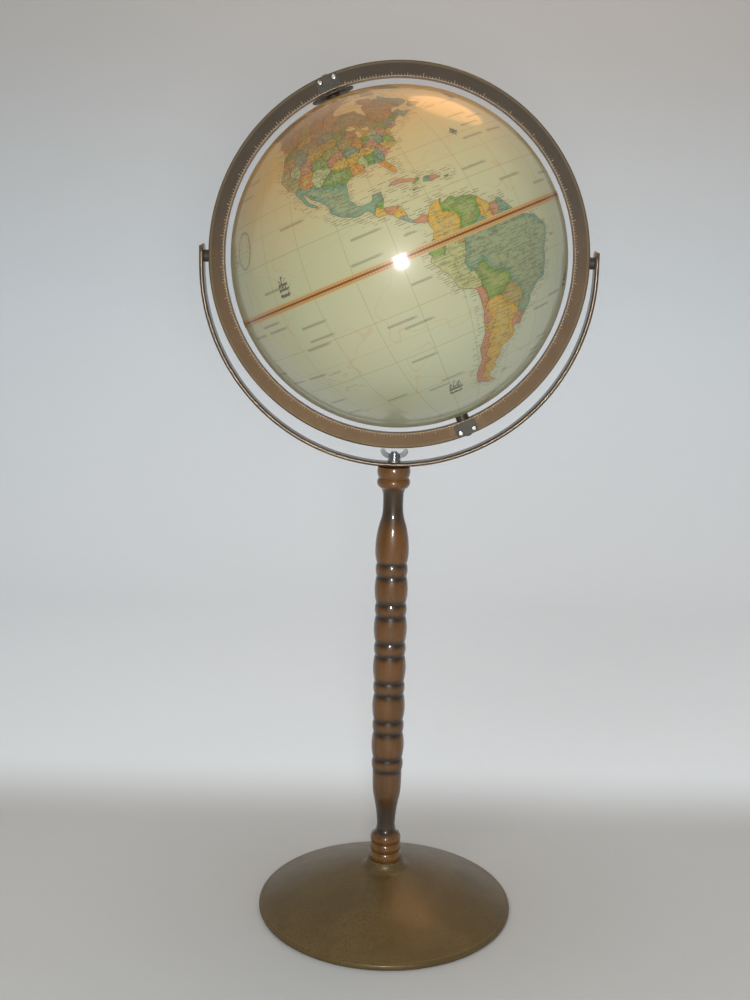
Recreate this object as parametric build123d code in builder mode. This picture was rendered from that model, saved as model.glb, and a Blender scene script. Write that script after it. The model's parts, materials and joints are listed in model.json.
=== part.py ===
"""A twelve-inch globe on a floor stand.

The ball spins on two pins in a full meridian ring, the ring swings in a U-shaped cradle, and
the cradle turns on a turned wooden post that stands on a domed metal base. A wing nut clamps
the cradle, and one threaded rod holds base, post and cradle together.

Millimetres, +Z up. The origin is on the floor, on the post's centre line. The ring's swing
axis runs along X, and the map's north pole leans towards -X.
"""

from build123d import *
from math import cos, radians, sin, sqrt
import os

os.makedirs("parts", exist_ok=True)

# ---- clearances -------------------------------------------------------------------------
RUNNING = 0.05  # radial play of a pin that turns in a bore
FIXED = 0.02  # radial play of a pin that is held in its bore
FACE_GAP = 0.3  # between faces that slide or turn past each other
GLUE_GAP = 0.3  # glue line inside the ball
ROD_ROOM = 0.425  # round the rod where it passes through the post, base and weight
HEAD_ROOM = 0.4  # between a pivot screw's head and the cradle's rolled edges

# ---- globe ------------------------------------------------------------------------------
BALL_RADIUS = 152.4
BALL_WALL = 3.0
BALL_SAG = 0.5  # how far the ball rests down its axis, on the south washer
AXIS_TILT = 23.5
TAPE_WIDTH = 7.0
TAPE_THICKNESS = 0.3
TAPE_GLUE = 0.05  # between the ball's equator and the tape
HOOP_WIDTH = 24.0
HOOP_THICKNESS = 4.0
FERRULE_RADIUS = 3.0
FERRULE_FLANGE_RADIUS = 7.0
FERRULE_FLANGE = 0.5
FERRULE_BELOW_WALL = 3.0
CUP_RADIUS = 16.0
CUP_THICKNESS = 1.5

# ---- meridian ring ----------------------------------------------------------------------
RING_TO_BALL = 6.35
RING_FACE = 14.25
RING_DEPTH = 12.0
RING_OUTER_ROUND = 1.5
RING_INNER_ROUND = 0.6

# ---- axis pins and what sits on them ----------------------------------------------------
PIN_RADIUS = 2.0
PIN_HEAD_RADIUS = 4.0
PIN_HEAD = 1.2
PIN_CROWN_RADIUS = 2.4
PIN_INSIDE_BALL = 14.0
SOUTH_WASHER_RADIUS = 6.0
SPACER_RADIUS = 4.5
DIAL_RADIUS = 19.5
DIAL_THICKNESS = 1.2
DIAL_HUB_RADIUS = 6.0
DIAL_HUB = 1.6

# ---- pole plates and their rivets -------------------------------------------------------
PLATE_LENGTH = 21.0
PLATE_WIDTH = 12.0
PLATE_THICKNESS = 1.2
PLATE_CORNER = 2.5
RIVET_RADIUS = 1.5
RIVET_HEAD_RADIUS = 2.6
RIVET_HEAD = 1.5
RIVET_CROWN = 1.05  # rounding of the front heads
RIVET_BACK = 0.75  # height of the heads on the ring's back
RIVET_BACK_ROUND = 0.45
RIVET_SPACING = 13.2
RIVET_FROM_RIM = 4.4

# ---- cradle and its pivots --------------------------------------------------------------
CRADLE_TO_RING = 4.3
CRADLE_TO_RING_BELOW = 13.5
CRADLE_WIDTH = 16.0
CRADLE_LIP = 4.0  # diameter of the rolled edge
CRADLE_WEB = 1.8
CRADLE_ABOVE_PIVOT = 11.0
PIVOT_SHOULDER = 1.1  # how far a pivot screw's head stands out past its shank
PIVOT_IN_RING = 10.0
PIVOT_TIP_ROOM = 1.0  # left in the ring's hole past the screw's end
PIVOT_HEAD = 1.5
PIVOT_SLOT_WIDTH = 1.0
PIVOT_SLOT_DEPTH = 0.7
PIVOT_SLOT_TURN = 35.0
PIVOT_HEAD_ROUND = 0.9
BUSH_RADIUS = 5.5
SPOT_FACE_RADIUS = 6.2
SPOT_FACE_DEPTH = 0.2

# ---- threaded rod, washers and nuts -----------------------------------------------------
ROD_RADIUS = 3.175
ROD_CHAMFER = 0.5
LOCK_WASHER_RADIUS = 6.0
LOCK_WASHER = 1.4
LOCK_WASHER_SLIT = 1.2
WING_NUT_HEIGHT = 11.0
WING_NUT_SPAN = 26.0
WING_THICKNESS = 2.4
WING_BOSS = 6.4
WING_BOSS_BASE_RADIUS = 6.2
WING_BOSS_TOP_RADIUS = 4.9
WING_START = 1.9  # height of the wing's lower edge up the boss
WING_ROOT = 3.6  # height of the wing where it meets the boss
WING_SINK = 1.5  # how far the wing starts inside the boss's top radius
WING_EAR = 2.4  # corner size of the ear's top and outer ends
ROD_ABOVE_BOSS = 1.6
NUT_ACROSS_FLATS = 11.1
NUT_HEIGHT = 5.5
BASE_WASHER_RADIUS = 14.0
BASE_WASHER = 1.6

# ---- post -------------------------------------------------------------------------------
POST_HEIGHT = 394.2
POST_RADIUS = 15.6  # of the foot, the foot beads, the torus and the collar
POST_EDGE = 0.6  # how far the post's flat ends stop short of that radius
GROOVE_DEPTH = 1.6  # of the grooves between those
FOOT_HEIGHT = 8.6
FOOT_BEAD = 9.3
ANKLE_GROOVE = 2.6  # depth of the step where the ankle starts
ANKLE_RADIUS = 9.1
ANKLE_HEIGHT = 13.0  # from the foot beads to the narrowest place
LOWER_VASE_HEIGHT = 53.4
LOWER_VASE_MIDDLE_RADIUS = 12.2
LOWER_VASE_MIDDLE = 22.7  # height of that radius above the narrowest place
BEAD_COUNT = 6
BEAD_HEIGHT = 12.4
BEAD_RADIUS = 15.4
BARREL_RADIUS = 16.0
BARREL_GROOVE_RADIUS = 14.3
UPPER_VASE_HEIGHT = 55.0
UPPER_VASE_BELLY = 16.5  # height of its widest place above the beads
UPPER_VASE_SHOULDER = 37.4  # height where it is half way in to the neck
NECK_RADIUS = 9.6
NECK_HEIGHT = 6.5
COVE_HEIGHT = 11.0
COVE_GROOVE = 3.6  # depth of the step where the cove ends under the torus
TORUS_HEIGHT = 9.8
COLLAR_HEIGHT = 10.6

# ---- base -------------------------------------------------------------------------------
BASE_RADIUS = 125.0
BASE_HEIGHT = 50.0
BASE_SHEET = 1.5
RIM_ROLL_RADIUS = 3.6
RIM_FLAT = 0.4  # how much of the roll is flattened where it stands on the floor
BASE_TOP_RADIUS = 17.2
FLARE_RADIUS = 25.0
FLARE_HEIGHT = 8.5
DOME_BULGE = 4.5
WEIGHT_RADIUS = 62.0
WEIGHT_BOTTOM = 5.0
WEIGHT_HEIGHT = 15.0
WEIGHT_CHAMFER = 2.5
WEIGHT_BOSS_RADIUS = 12.0
WEIGHT_RECESS_RADIUS = 18.0
WEIGHT_RECESS = 8.0

# ---- places that follow from the sizes above --------------------------------------------
rod_bore = ROD_RADIUS + ROD_ROOM
pivot_head_radius = CRADLE_WIDTH / 2 - CRADLE_LIP - HEAD_ROOM
pivot_radius = pivot_head_radius - PIVOT_SHOULDER
ring_inner = BALL_RADIUS + RING_TO_BALL
ring_outer = ring_inner + RING_FACE
cradle_inner = ring_outer + CRADLE_TO_RING
cradle_outer = cradle_inner + CRADLE_LIP
cradle_drop = CRADLE_TO_RING_BELOW - CRADLE_TO_RING
post_top = BASE_HEIGHT + POST_HEIGHT
cradle_bottom = post_top + FACE_GAP
web_top = cradle_bottom + CRADLE_LIP
ring_height = cradle_bottom + cradle_outer + cradle_drop
# The washer sits on the curved strip by its edge.
washer_seat = web_top + cradle_inner - sqrt(cradle_inner ** 2 - LOCK_WASHER_RADIUS ** 2)
wing_nut_bottom = washer_seat + LOCK_WASHER + FACE_GAP
rod_top = wing_nut_bottom + WING_BOSS + ROD_ABOVE_BOSS
recess_roof = WEIGHT_BOTTOM + WEIGHT_RECESS
base_nut_bottom = recess_roof - BASE_WASHER - NUT_HEIGHT
rod_bottom = base_nut_bottom - ROD_ABOVE_BOSS

# The straight hoop's edges come nearest to the curved shell.
hoop_outer = sqrt((BALL_RADIUS - BALL_WALL) ** 2 - (HOOP_WIDTH / 2) ** 2) - GLUE_GAP

ring_centre = Vector(0, 0, ring_height)
north = Vector(-sin(radians(AXIS_TILT)), 0, cos(radians(AXIS_TILT)))
east = Vector(cos(radians(AXIS_TILT)), 0, sin(radians(AXIS_TILT)))
ball_centre = ring_centre - north * BALL_SAG
globe_axis = Axis(origin=ring_centre, direction=north)
# Local x runs out from the globe's axis, local y along it towards the north pole.
ring_section = Plane(origin=ring_centre, x_dir=east, z_dir=(0, -1, 0))
ball_section = Plane(origin=ball_centre, x_dir=east, z_dir=(0, -1, 0))


def across_axis(distance):
    """The plane square to the globe's axis, this far from the ring's centre towards north."""
    return Plane(origin=ring_centre + north * distance, x_dir=east, z_dir=north)


def outline(*points):
    """Adds a closed straight-sided face through the points to the current sketch."""
    Polygon(*points, align=None)


def keep(piece, name):
    """Names the piece and writes it to its own file."""
    piece.label = name
    export_step(piece, f"parts/{name}.step")


# ---- base -------------------------------------------------------------------------------


def dome_line(drop):
    """Adds the dome's line, lowered by drop, and gives its two ends: rolled rim, post's foot."""
    rim = (BASE_RADIUS - RIM_ROLL_RADIUS, 2 * RIM_ROLL_RADIUS - RIM_FLAT - drop)
    flare = (FLARE_RADIUS, BASE_HEIGHT - FLARE_HEIGHT - drop)
    top = (BASE_TOP_RADIUS, BASE_HEIGHT - drop)
    middle = ((rim[0] + flare[0]) / 2, (rim[1] + flare[1]) / 2 + DOME_BULGE)
    bend = ((flare[0] + 2 * top[0]) / 3, (2 * flare[1] + top[1]) / 3)
    ThreePointArc(rim, middle, flare)
    ThreePointArc(flare, bend, top)
    return rim, top


def make_base_shell():
    roll_height = RIM_ROLL_RADIUS - RIM_FLAT
    with BuildPart() as shell:
        with BuildSketch(Plane.XZ):
            with BuildLine():
                outer_rim, outer_top = dome_line(0)
                inner_rim, inner_top = dome_line(BASE_SHEET)
                Line(outer_rim, inner_rim)
                Polyline(outer_top, (rod_bore, BASE_HEIGHT),
                         (rod_bore, BASE_HEIGHT - BASE_SHEET), inner_top)
            make_face()
            with Locations((BASE_RADIUS - RIM_ROLL_RADIUS, roll_height)):
                Circle(RIM_ROLL_RADIUS)
            with Locations((BASE_RADIUS, -RIM_ROLL_RADIUS)):
                Rectangle(4 * RIM_ROLL_RADIUS, 2 * RIM_ROLL_RADIUS, mode=Mode.SUBTRACT)
        revolve(axis=Axis.Z)
    keep(shell.part, "base_shell")


def make_base_weight():
    with BuildPart() as weight:
        with BuildSketch(Plane.XY.offset(WEIGHT_BOTTOM)):
            Circle(WEIGHT_RADIUS)
        extrude(amount=WEIGHT_HEIGHT)
        with BuildSketch(Plane.XY.offset(WEIGHT_BOTTOM + WEIGHT_HEIGHT)):
            Circle(WEIGHT_BOSS_RADIUS)
        extrude(amount=BASE_HEIGHT - BASE_SHEET - WEIGHT_BOTTOM - WEIGHT_HEIGHT)
        rim = weight.edges().filter_by(GeomType.CIRCLE).group_by(SortBy.RADIUS)[-1]
        chamfer(rim, WEIGHT_CHAMFER)
        with BuildSketch(Plane.XY.offset(WEIGHT_BOTTOM)):
            Circle(WEIGHT_RECESS_RADIUS)
        extrude(amount=WEIGHT_RECESS, mode=Mode.SUBTRACT)
        with BuildSketch(Plane.XY.offset(recess_roof)):
            Circle(rod_bore)
        extrude(amount=BASE_HEIGHT, mode=Mode.SUBTRACT)
    keep(weight.part, "base_weight")


def make_washer(name, plane, radius, bore, thickness):
    """A flat round washer standing on the plane."""
    with BuildPart() as washer:
        with BuildSketch(plane):
            Circle(radius)
            Circle(bore, mode=Mode.SUBTRACT)
        extrude(amount=thickness)
    keep(washer.part, name)


def make_base_nut():
    with BuildPart() as nut:
        with BuildSketch(Plane.XY.offset(base_nut_bottom)):
            RegularPolygon(NUT_ACROSS_FLATS / 2, 6, major_radius=False)
            Circle(ROD_RADIUS + FIXED, mode=Mode.SUBTRACT)
        extrude(amount=NUT_HEIGHT)
    keep(nut.part, "base_nut")


def make_tie_rod():
    with BuildPart() as rod:
        with BuildSketch(Plane.XY.offset(rod_bottom)):
            Circle(ROD_RADIUS)
        extrude(amount=rod_top - rod_bottom)
        chamfer(rod.edges().filter_by(GeomType.CIRCLE), ROD_CHAMFER)
    keep(rod.part, "tie_rod")


# ---- post -------------------------------------------------------------------------------

def swell(start, end, radius):
    """Adds an arc from start to end, up the post, that bulges to this radius half way."""
    ThreePointArc(start, (radius, (start[1] + end[1]) / 2), end)


def foot_line(foot):
    """Adds the foot, the two foot beads and the lower vase, and gives where they end."""
    groove = POST_RADIUS - GROOVE_DEPTH
    first = foot + FOOT_HEIGHT
    second = first + FOOT_BEAD
    step = (POST_RADIUS - ANKLE_GROOVE, second + FOOT_BEAD)
    ankle = step[1] + ANKLE_HEIGHT
    vase_end = (BARREL_GROOVE_RADIUS, ankle + LOWER_VASE_HEIGHT)
    swell((POST_RADIUS - POST_EDGE, foot), (groove, first), POST_RADIUS)
    swell((groove, first), (groove, second), POST_RADIUS)
    swell((groove, second), step, POST_RADIUS - POST_EDGE)
    Spline(step, (ANKLE_RADIUS, ankle), (LOWER_VASE_MIDDLE_RADIUS, ankle + LOWER_VASE_MIDDLE),
           vase_end, tangents=[(-2, 1), (0, 1)])
    return vase_end


def bead_line(low, high):
    """Adds the beads, with longer barrels between them, that fill the height from low to high."""
    pitch = (high - low - BEAD_HEIGHT) / (BEAD_COUNT - 1)
    for n in range(BEAD_COUNT):
        start = (BARREL_GROOVE_RADIUS, low + n * pitch)
        end = (BARREL_GROOVE_RADIUS, low + n * pitch + BEAD_HEIGHT)
        swell(start, end, BEAD_RADIUS)
        if n < BEAD_COUNT - 1:
            swell(end, (BARREL_GROOVE_RADIUS, low + (n + 1) * pitch), BARREL_RADIUS)


def head_line(beads_high, top):
    """Adds the upper vase, the neck, the torus and the collar up to the post's top."""
    groove = (POST_RADIUS - GROOVE_DEPTH, top - COLLAR_HEIGHT)
    torus = (POST_RADIUS - COVE_GROOVE, groove[1] - TORUS_HEIGHT)
    neck_top = (NECK_RADIUS, torus[1] - COVE_HEIGHT)
    neck_low = (NECK_RADIUS, neck_top[1] - NECK_HEIGHT)
    belly = (BARREL_RADIUS, beads_high + UPPER_VASE_BELLY)
    shoulder = ((BARREL_RADIUS + NECK_RADIUS) / 2, beads_high + UPPER_VASE_SHOULDER)
    Spline((BARREL_GROOVE_RADIUS, beads_high), belly, shoulder, neck_low, tangents=[(1, 3), (0, 1)])
    Line(neck_low, neck_top)
    Spline(neck_top, torus, tangents=[(0, 1), (1, 1)])
    swell(torus, groove, POST_RADIUS)
    swell(groove, (POST_RADIUS - POST_EDGE, top), POST_RADIUS)


def make_post():
    foot = BASE_HEIGHT
    neck_low = post_top - COLLAR_HEIGHT - TORUS_HEIGHT - COVE_HEIGHT - NECK_HEIGHT
    beads_high = neck_low - UPPER_VASE_HEIGHT
    with BuildPart() as post:
        with BuildSketch(Plane.XZ):
            with BuildLine():
                vase_end = foot_line(foot)
                bead_line(vase_end[1], beads_high)
                head_line(beads_high, post_top)
                Polyline((POST_RADIUS - POST_EDGE, post_top), (rod_bore, post_top),
                         (rod_bore, foot), (POST_RADIUS - POST_EDGE, foot))
            make_face()
        revolve(axis=Axis.Z)
    keep(post.part, "post")


# ---- cradle -----------------------------------------------------------------------------


def make_cradle():
    lip = CRADLE_LIP / 2
    middle_radius = cradle_inner + lip
    bend_height = ring_height - cradle_drop
    arm_top = ring_height + CRADLE_ABOVE_PIVOT
    with BuildPart() as cradle:
        with BuildLine() as path:
            Line((-middle_radius, 0, arm_top), (-middle_radius, 0, bend_height))
            ThreePointArc((-middle_radius, 0, bend_height), (0, 0, bend_height - middle_radius),
                          (middle_radius, 0, bend_height))
            Line((middle_radius, 0, bend_height), (middle_radius, 0, arm_top))
        with BuildSketch(Plane(origin=path.line @ 0, x_dir=(1, 0, 0), z_dir=(0, 0, -1))):
            with Locations((lip - CRADLE_WEB / 2, 0)):
                Rectangle(CRADLE_WEB, CRADLE_WIDTH - CRADLE_LIP)
            with Locations((0, CRADLE_WIDTH / 2 - lip), (0, lip - CRADLE_WIDTH / 2)):
                Circle(lip)
        sweep(path=path.line)
        # The arms end round, about a point half a width below their tops.
        with BuildSketch(Plane.YZ):
            end = arm_top - CRADLE_WIDTH / 2
            with Locations((0, end + CRADLE_WIDTH / 2)):
                Rectangle(2 * CRADLE_WIDTH, CRADLE_WIDTH)
            with Locations((0, end)):
                Circle(CRADLE_WIDTH / 2, mode=Mode.SUBTRACT)
        extrude(amount=2 * cradle_outer, both=True, mode=Mode.SUBTRACT)
        with BuildSketch(Plane.YZ):
            with Locations((0, ring_height)):
                Circle(pivot_radius + RUNNING)
        extrude(amount=2 * cradle_outer, both=True, mode=Mode.SUBTRACT)
        with BuildSketch(Plane.XY.offset(cradle_bottom)):
            Circle(ROD_RADIUS + RUNNING)
        extrude(amount=2 * CRADLE_LIP, mode=Mode.SUBTRACT)
    keep(cradle.part, "cradle")


def make_lock_washer():
    with BuildPart() as washer:
        with BuildSketch(Plane.XY.offset(washer_seat)):
            Circle(LOCK_WASHER_RADIUS)
            Circle(ROD_RADIUS + RUNNING, mode=Mode.SUBTRACT)
            with Locations((0, LOCK_WASHER_RADIUS)):
                Rectangle(LOCK_WASHER_SLIT, 2 * LOCK_WASHER_RADIUS, mode=Mode.SUBTRACT)
        extrude(amount=LOCK_WASHER)
    keep(washer.part, "lock_washer")


def wing_line():
    """Adds one wing's outline: a low root on the boss that curves up to a round ear."""
    half = WING_NUT_SPAN / 2
    low = wing_nut_bottom + WING_START
    high = wing_nut_bottom + WING_NUT_HEIGHT
    root = WING_BOSS_TOP_RADIUS - WING_SINK
    waist = (root + half) / 2
    tip = (half - WING_EAR, high)
    Spline((root, low), (waist + WING_SINK, low + WING_SINK), (half, high - WING_EAR), tip,
           tangents=[(1, 0), (-1, 0)])
    Spline(tip, (waist, high - WING_EAR), (root, low + WING_ROOT), tangents=[(-1, 0), (-1, -1)])
    Line((root, low + WING_ROOT), (root, low))


def make_wing_nut():
    with BuildPart() as nut:
        with BuildSketch(Plane.XY.offset(wing_nut_bottom)):
            Circle(WING_BOSS_BASE_RADIUS)
        with BuildSketch(Plane.XY.offset(wing_nut_bottom + WING_BOSS)):
            Circle(WING_BOSS_TOP_RADIUS)
        loft()
        with BuildSketch(Plane.XZ):
            with BuildLine():
                wing_line()
            make_face()
            mirror(about=Plane.YZ)
        extrude(amount=WING_THICKNESS / 2, both=True)
        with BuildSketch(Plane.XY.offset(wing_nut_bottom)):
            Circle(ROD_RADIUS + RUNNING)
        extrude(amount=WING_NUT_HEIGHT, mode=Mode.SUBTRACT)
    keep(nut.part, "wing_nut")


# ---- ring pivots ------------------------------------------------------------------------


def side_plane(side, distance):
    """The plane this far from the middle along X, facing outwards, on side 1 or -1."""
    return Plane(origin=(side * distance, 0, ring_height), x_dir=(0, side, 0), z_dir=(side, 0, 0))


def make_pivot(side, word):
    seat = ring_outer - SPOT_FACE_DEPTH
    head_start = cradle_inner + CRADLE_WEB + FACE_GAP
    with BuildPart() as screw:
        with BuildSketch(side_plane(side, seat - PIVOT_IN_RING)):
            Circle(pivot_radius)
        extrude(amount=head_start - seat + PIVOT_IN_RING)
        with BuildSketch(side_plane(side, head_start)):
            Circle(pivot_head_radius)
        extrude(amount=PIVOT_HEAD)
        rim = screw.edges().filter_by(GeomType.CIRCLE).group_by(SortBy.RADIUS)[-1]
        fillet(rim.sort_by(Axis.X)[-1 if side > 0 else 0], PIVOT_HEAD_ROUND)
        with BuildSketch(side_plane(side, head_start + PIVOT_HEAD)):
            Rectangle(3 * pivot_head_radius, PIVOT_SLOT_WIDTH, rotation=PIVOT_SLOT_TURN)
        extrude(amount=-PIVOT_SLOT_DEPTH, mode=Mode.SUBTRACT)
    keep(screw.part, f"{word}_pivot_screw")
    bush = cradle_inner - FACE_GAP - seat
    make_washer(f"{word}_pivot_bush", side_plane(side, seat), BUSH_RADIUS, pivot_radius + FIXED, bush)


# ---- meridian ring and pole fittings ----------------------------------------------------


def pole_plane(end, depth):
    """A plane square to Y at this depth, centred on the pole of end 1 or -1, y outwards."""
    centre = ring_centre + north * (end * (ring_outer - RIVET_FROM_RIM)) + Vector(0, depth, 0)
    return Plane(origin=centre, x_dir=east * end, z_dir=(0, -1, 0))


def make_ring():
    with BuildPart() as ring:
        with BuildSketch(Plane.XY.offset(ring_height)):
            with Locations((ring_inner + RING_FACE / 2, 0)):
                Rectangle(RING_FACE, RING_DEPTH)
            fillet(vertices().group_by(Axis.X)[-1], RING_OUTER_ROUND)
            fillet(vertices().group_by(Axis.X)[0], RING_INNER_ROUND)
        revolve(axis=Axis(origin=ring_centre, direction=(0, 1, 0)))
        for side in (1, -1):
            with BuildSketch(side_plane(side, ring_outer - SPOT_FACE_DEPTH)):
                Circle(SPOT_FACE_RADIUS)
            extrude(amount=SPOT_FACE_RADIUS, mode=Mode.SUBTRACT)
            with BuildSketch(side_plane(side, ring_outer)):
                Circle(pivot_radius + FIXED)
            extrude(amount=-PIVOT_IN_RING - PIVOT_TIP_ROOM, mode=Mode.SUBTRACT)
        for end in (1, -1):
            with BuildSketch(across_axis(end * ring_inner)):
                Circle(PIN_RADIUS + FIXED)
            extrude(amount=2 * RING_FACE, both=True, mode=Mode.SUBTRACT)
            with BuildSketch(pole_plane(end, 0)):
                with GridLocations(RIVET_SPACING, 0, 2, 1):
                    Circle(RIVET_RADIUS + FIXED)
            extrude(amount=RING_DEPTH, both=True, mode=Mode.SUBTRACT)
    keep(ring.part, "meridian_ring")


def make_pole_plate(end, word):
    with BuildPart() as plate:
        with BuildSketch(pole_plane(end, -RING_DEPTH / 2)):
            with Locations((0, RIVET_FROM_RIM - RING_FACE / 2)):
                RectangleRounded(PLATE_LENGTH, PLATE_WIDTH, PLATE_CORNER)
            with GridLocations(RIVET_SPACING, 0, 2, 1):
                Circle(RIVET_RADIUS + FIXED, mode=Mode.SUBTRACT)
        extrude(amount=PLATE_THICKNESS)
    keep(plate.part, f"{word}_pole_plate")


def make_rivets(end, word):
    front = RING_DEPTH / 2 + PLATE_THICKNESS
    with BuildPart() as rivets:
        with BuildSketch(pole_plane(end, RING_DEPTH / 2)):
            with GridLocations(RIVET_SPACING, 0, 2, 1):
                Circle(RIVET_RADIUS)
        extrude(amount=RING_DEPTH + PLATE_THICKNESS)
        with BuildSketch(pole_plane(end, -front)):
            with GridLocations(RIVET_SPACING, 0, 2, 1):
                Circle(RIVET_HEAD_RADIUS)
        extrude(amount=RIVET_HEAD)
        with BuildSketch(pole_plane(end, RING_DEPTH / 2)):
            with GridLocations(RIVET_SPACING, 0, 2, 1):
                Circle(RIVET_HEAD_RADIUS)
        extrude(amount=-RIVET_BACK)
        crowns = rivets.edges().filter_by(GeomType.CIRCLE).sort_by(Axis.Y)
        fillet(crowns[:2], RIVET_CROWN)
        fillet(crowns[-2:], RIVET_BACK_ROUND)
    keep(rivets.part, f"{word}_pole_rivets")


def make_pin(end, word):
    with BuildPart() as pin:
        with BuildSketch(ring_section):
            inner_end = ball_reach(end) - PIN_INSIDE_BALL
            head = ring_outer
            outline((0, end * inner_end), (PIN_RADIUS, end * inner_end), (PIN_RADIUS, end * head),
                    (PIN_HEAD_RADIUS, end * head), (PIN_CROWN_RADIUS, end * (head + PIN_HEAD)),
                    (0, end * (head + PIN_HEAD)))
        revolve(axis=globe_axis)
    keep(pin.part, f"{word}_axis_pin")


def ball_reach(end):
    """How far the ball's pole is from the ring's centre, at end 1 (north) or -1 (south)."""
    return BALL_RADIUS - end * BALL_SAG


def make_sleeve(name, low, high, radius, bore):
    """A round sleeve on the globe's axis between two distances from the ring's centre."""
    with BuildPart() as sleeve:
        with BuildSketch(across_axis(low)):
            Circle(radius)
            Circle(bore, mode=Mode.SUBTRACT)
        extrude(amount=high - low)
    keep(sleeve.part, name)


def make_pole_stack():
    """What sits on the pins between ball and ring: a washer below, dial and spacer above."""
    seat = sqrt(ring_inner ** 2 - max(SOUTH_WASHER_RADIUS, SPACER_RADIUS) ** 2)
    south_face = ball_reach(-1) + FERRULE_FLANGE + FACE_GAP
    make_sleeve("south_thrust_washer", -seat, -south_face, SOUTH_WASHER_RADIUS, PIN_RADIUS + FIXED)
    hub_low = ball_reach(1) + FERRULE_FLANGE + FACE_GAP
    dial_low = hub_low + DIAL_HUB
    dial_top = dial_low + DIAL_THICKNESS
    with BuildPart() as dial:
        with BuildSketch(ring_section):
            bore = PIN_RADIUS + RUNNING
            outline((bore, hub_low), (DIAL_HUB_RADIUS, hub_low), (DIAL_HUB_RADIUS, dial_low),
                    (DIAL_RADIUS, dial_low), (DIAL_RADIUS, dial_top), (bore, dial_top))
        revolve(axis=globe_axis)
    keep(dial.part, "hour_dial")
    make_sleeve("north_spacer", dial_top + FACE_GAP, seat, SPACER_RADIUS, PIN_RADIUS + FIXED)


# ---- ball -------------------------------------------------------------------------------


def make_hemisphere(end, word):
    inner = BALL_RADIUS - BALL_WALL
    bore = FERRULE_RADIUS + FIXED
    slant = sqrt(0.5)
    with BuildPart() as half:
        with BuildSketch(ball_section):
            with BuildLine():
                outer_pole = (bore, end * sqrt(BALL_RADIUS ** 2 - bore ** 2))
                inner_pole = (bore, end * sqrt(inner ** 2 - bore ** 2))
                ThreePointArc((BALL_RADIUS, 0), (BALL_RADIUS * slant, end * BALL_RADIUS * slant),
                              outer_pole)
                Line(outer_pole, inner_pole)
                ThreePointArc(inner_pole, (inner * slant, end * inner * slant), (inner, 0))
                Line((inner, 0), (BALL_RADIUS, 0))
            make_face()
        revolve(axis=globe_axis)
    keep(half.part, f"{word}_hemisphere")


def make_ferrule(end, word):
    """An eyelet through the shell: flange outside, barrel through, running on the axis pin."""
    pole = ball_reach(end)
    bore = PIN_RADIUS + RUNNING
    low = pole - BALL_WALL - FERRULE_BELOW_WALL
    with BuildPart() as ferrule:
        with BuildSketch(ring_section):
            outline((bore, end * low), (FERRULE_RADIUS, end * low), (FERRULE_RADIUS, end * pole),
                    (FERRULE_FLANGE_RADIUS, end * pole),
                    (FERRULE_FLANGE_RADIUS, end * (pole + FERRULE_FLANGE)),
                    (bore, end * (pole + FERRULE_FLANGE)))
        revolve(axis=globe_axis)
    keep(ferrule.part, f"{word}_pole_ferrule")


def make_pole_cup(end, word):
    """A pressed disc glued inside the shell's pole to carry the ferrule."""
    reach = ball_reach(end) - BALL_WALL - GLUE_GAP
    edge_drop = reach - sqrt(reach ** 2 - CUP_RADIUS ** 2)
    high = reach - edge_drop
    with BuildPart() as cup:
        with BuildSketch(ring_section):
            bore = FERRULE_RADIUS + FIXED
            outline((bore, end * high), (CUP_RADIUS, end * high),
                    (CUP_RADIUS, end * (high - CUP_THICKNESS)), (bore, end * (high - CUP_THICKNESS)))
        revolve(axis=globe_axis)
    keep(cup.part, f"{word}_pole_cup")


def make_band(name, radius, thickness, width):
    """A hoop round the ball's equator: inner radius, thickness outwards and width."""
    with BuildPart() as band:
        with BuildSketch(ball_section):
            with Locations((radius + thickness / 2, 0)):
                Rectangle(thickness, width)
        revolve(axis=globe_axis)
    keep(band.part, name)


make_base_shell()
make_base_weight()
make_washer("base_washer", Plane.XY.offset(recess_roof - BASE_WASHER), BASE_WASHER_RADIUS,
            ROD_RADIUS + FIXED, BASE_WASHER)
make_base_nut()
make_tie_rod()
make_post()
make_cradle()
make_lock_washer()
make_wing_nut()
make_pivot(-1, "left")
make_pivot(1, "right")
make_ring()
make_pole_stack()
for end, word in ((1, "north"), (-1, "south")):
    make_pole_plate(end, word)
    make_rivets(end, word)
    make_pin(end, word)
    make_hemisphere(end, word)
    make_ferrule(end, word)
    make_pole_cup(end, word)
make_band("equator_tape", BALL_RADIUS + TAPE_GLUE, TAPE_THICKNESS, TAPE_WIDTH)
make_band("joining_hoop", hoop_outer - HOOP_THICKNESS, HOOP_THICKNESS, HOOP_WIDTH)
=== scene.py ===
# %% [markdown]
# # A twelve-inch globe on a floor stand
#
# The metal, wood and fittings are loaded as a finished frame. This file gives each of them its
# finish and adds what only looks can give: the printed paper gores of the map. Sizes are in
# metres unless a name says otherwise.

# %% Load the frame
import json
import math

import bpy
import numpy as np
from mathutils import Matrix, Vector


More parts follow.
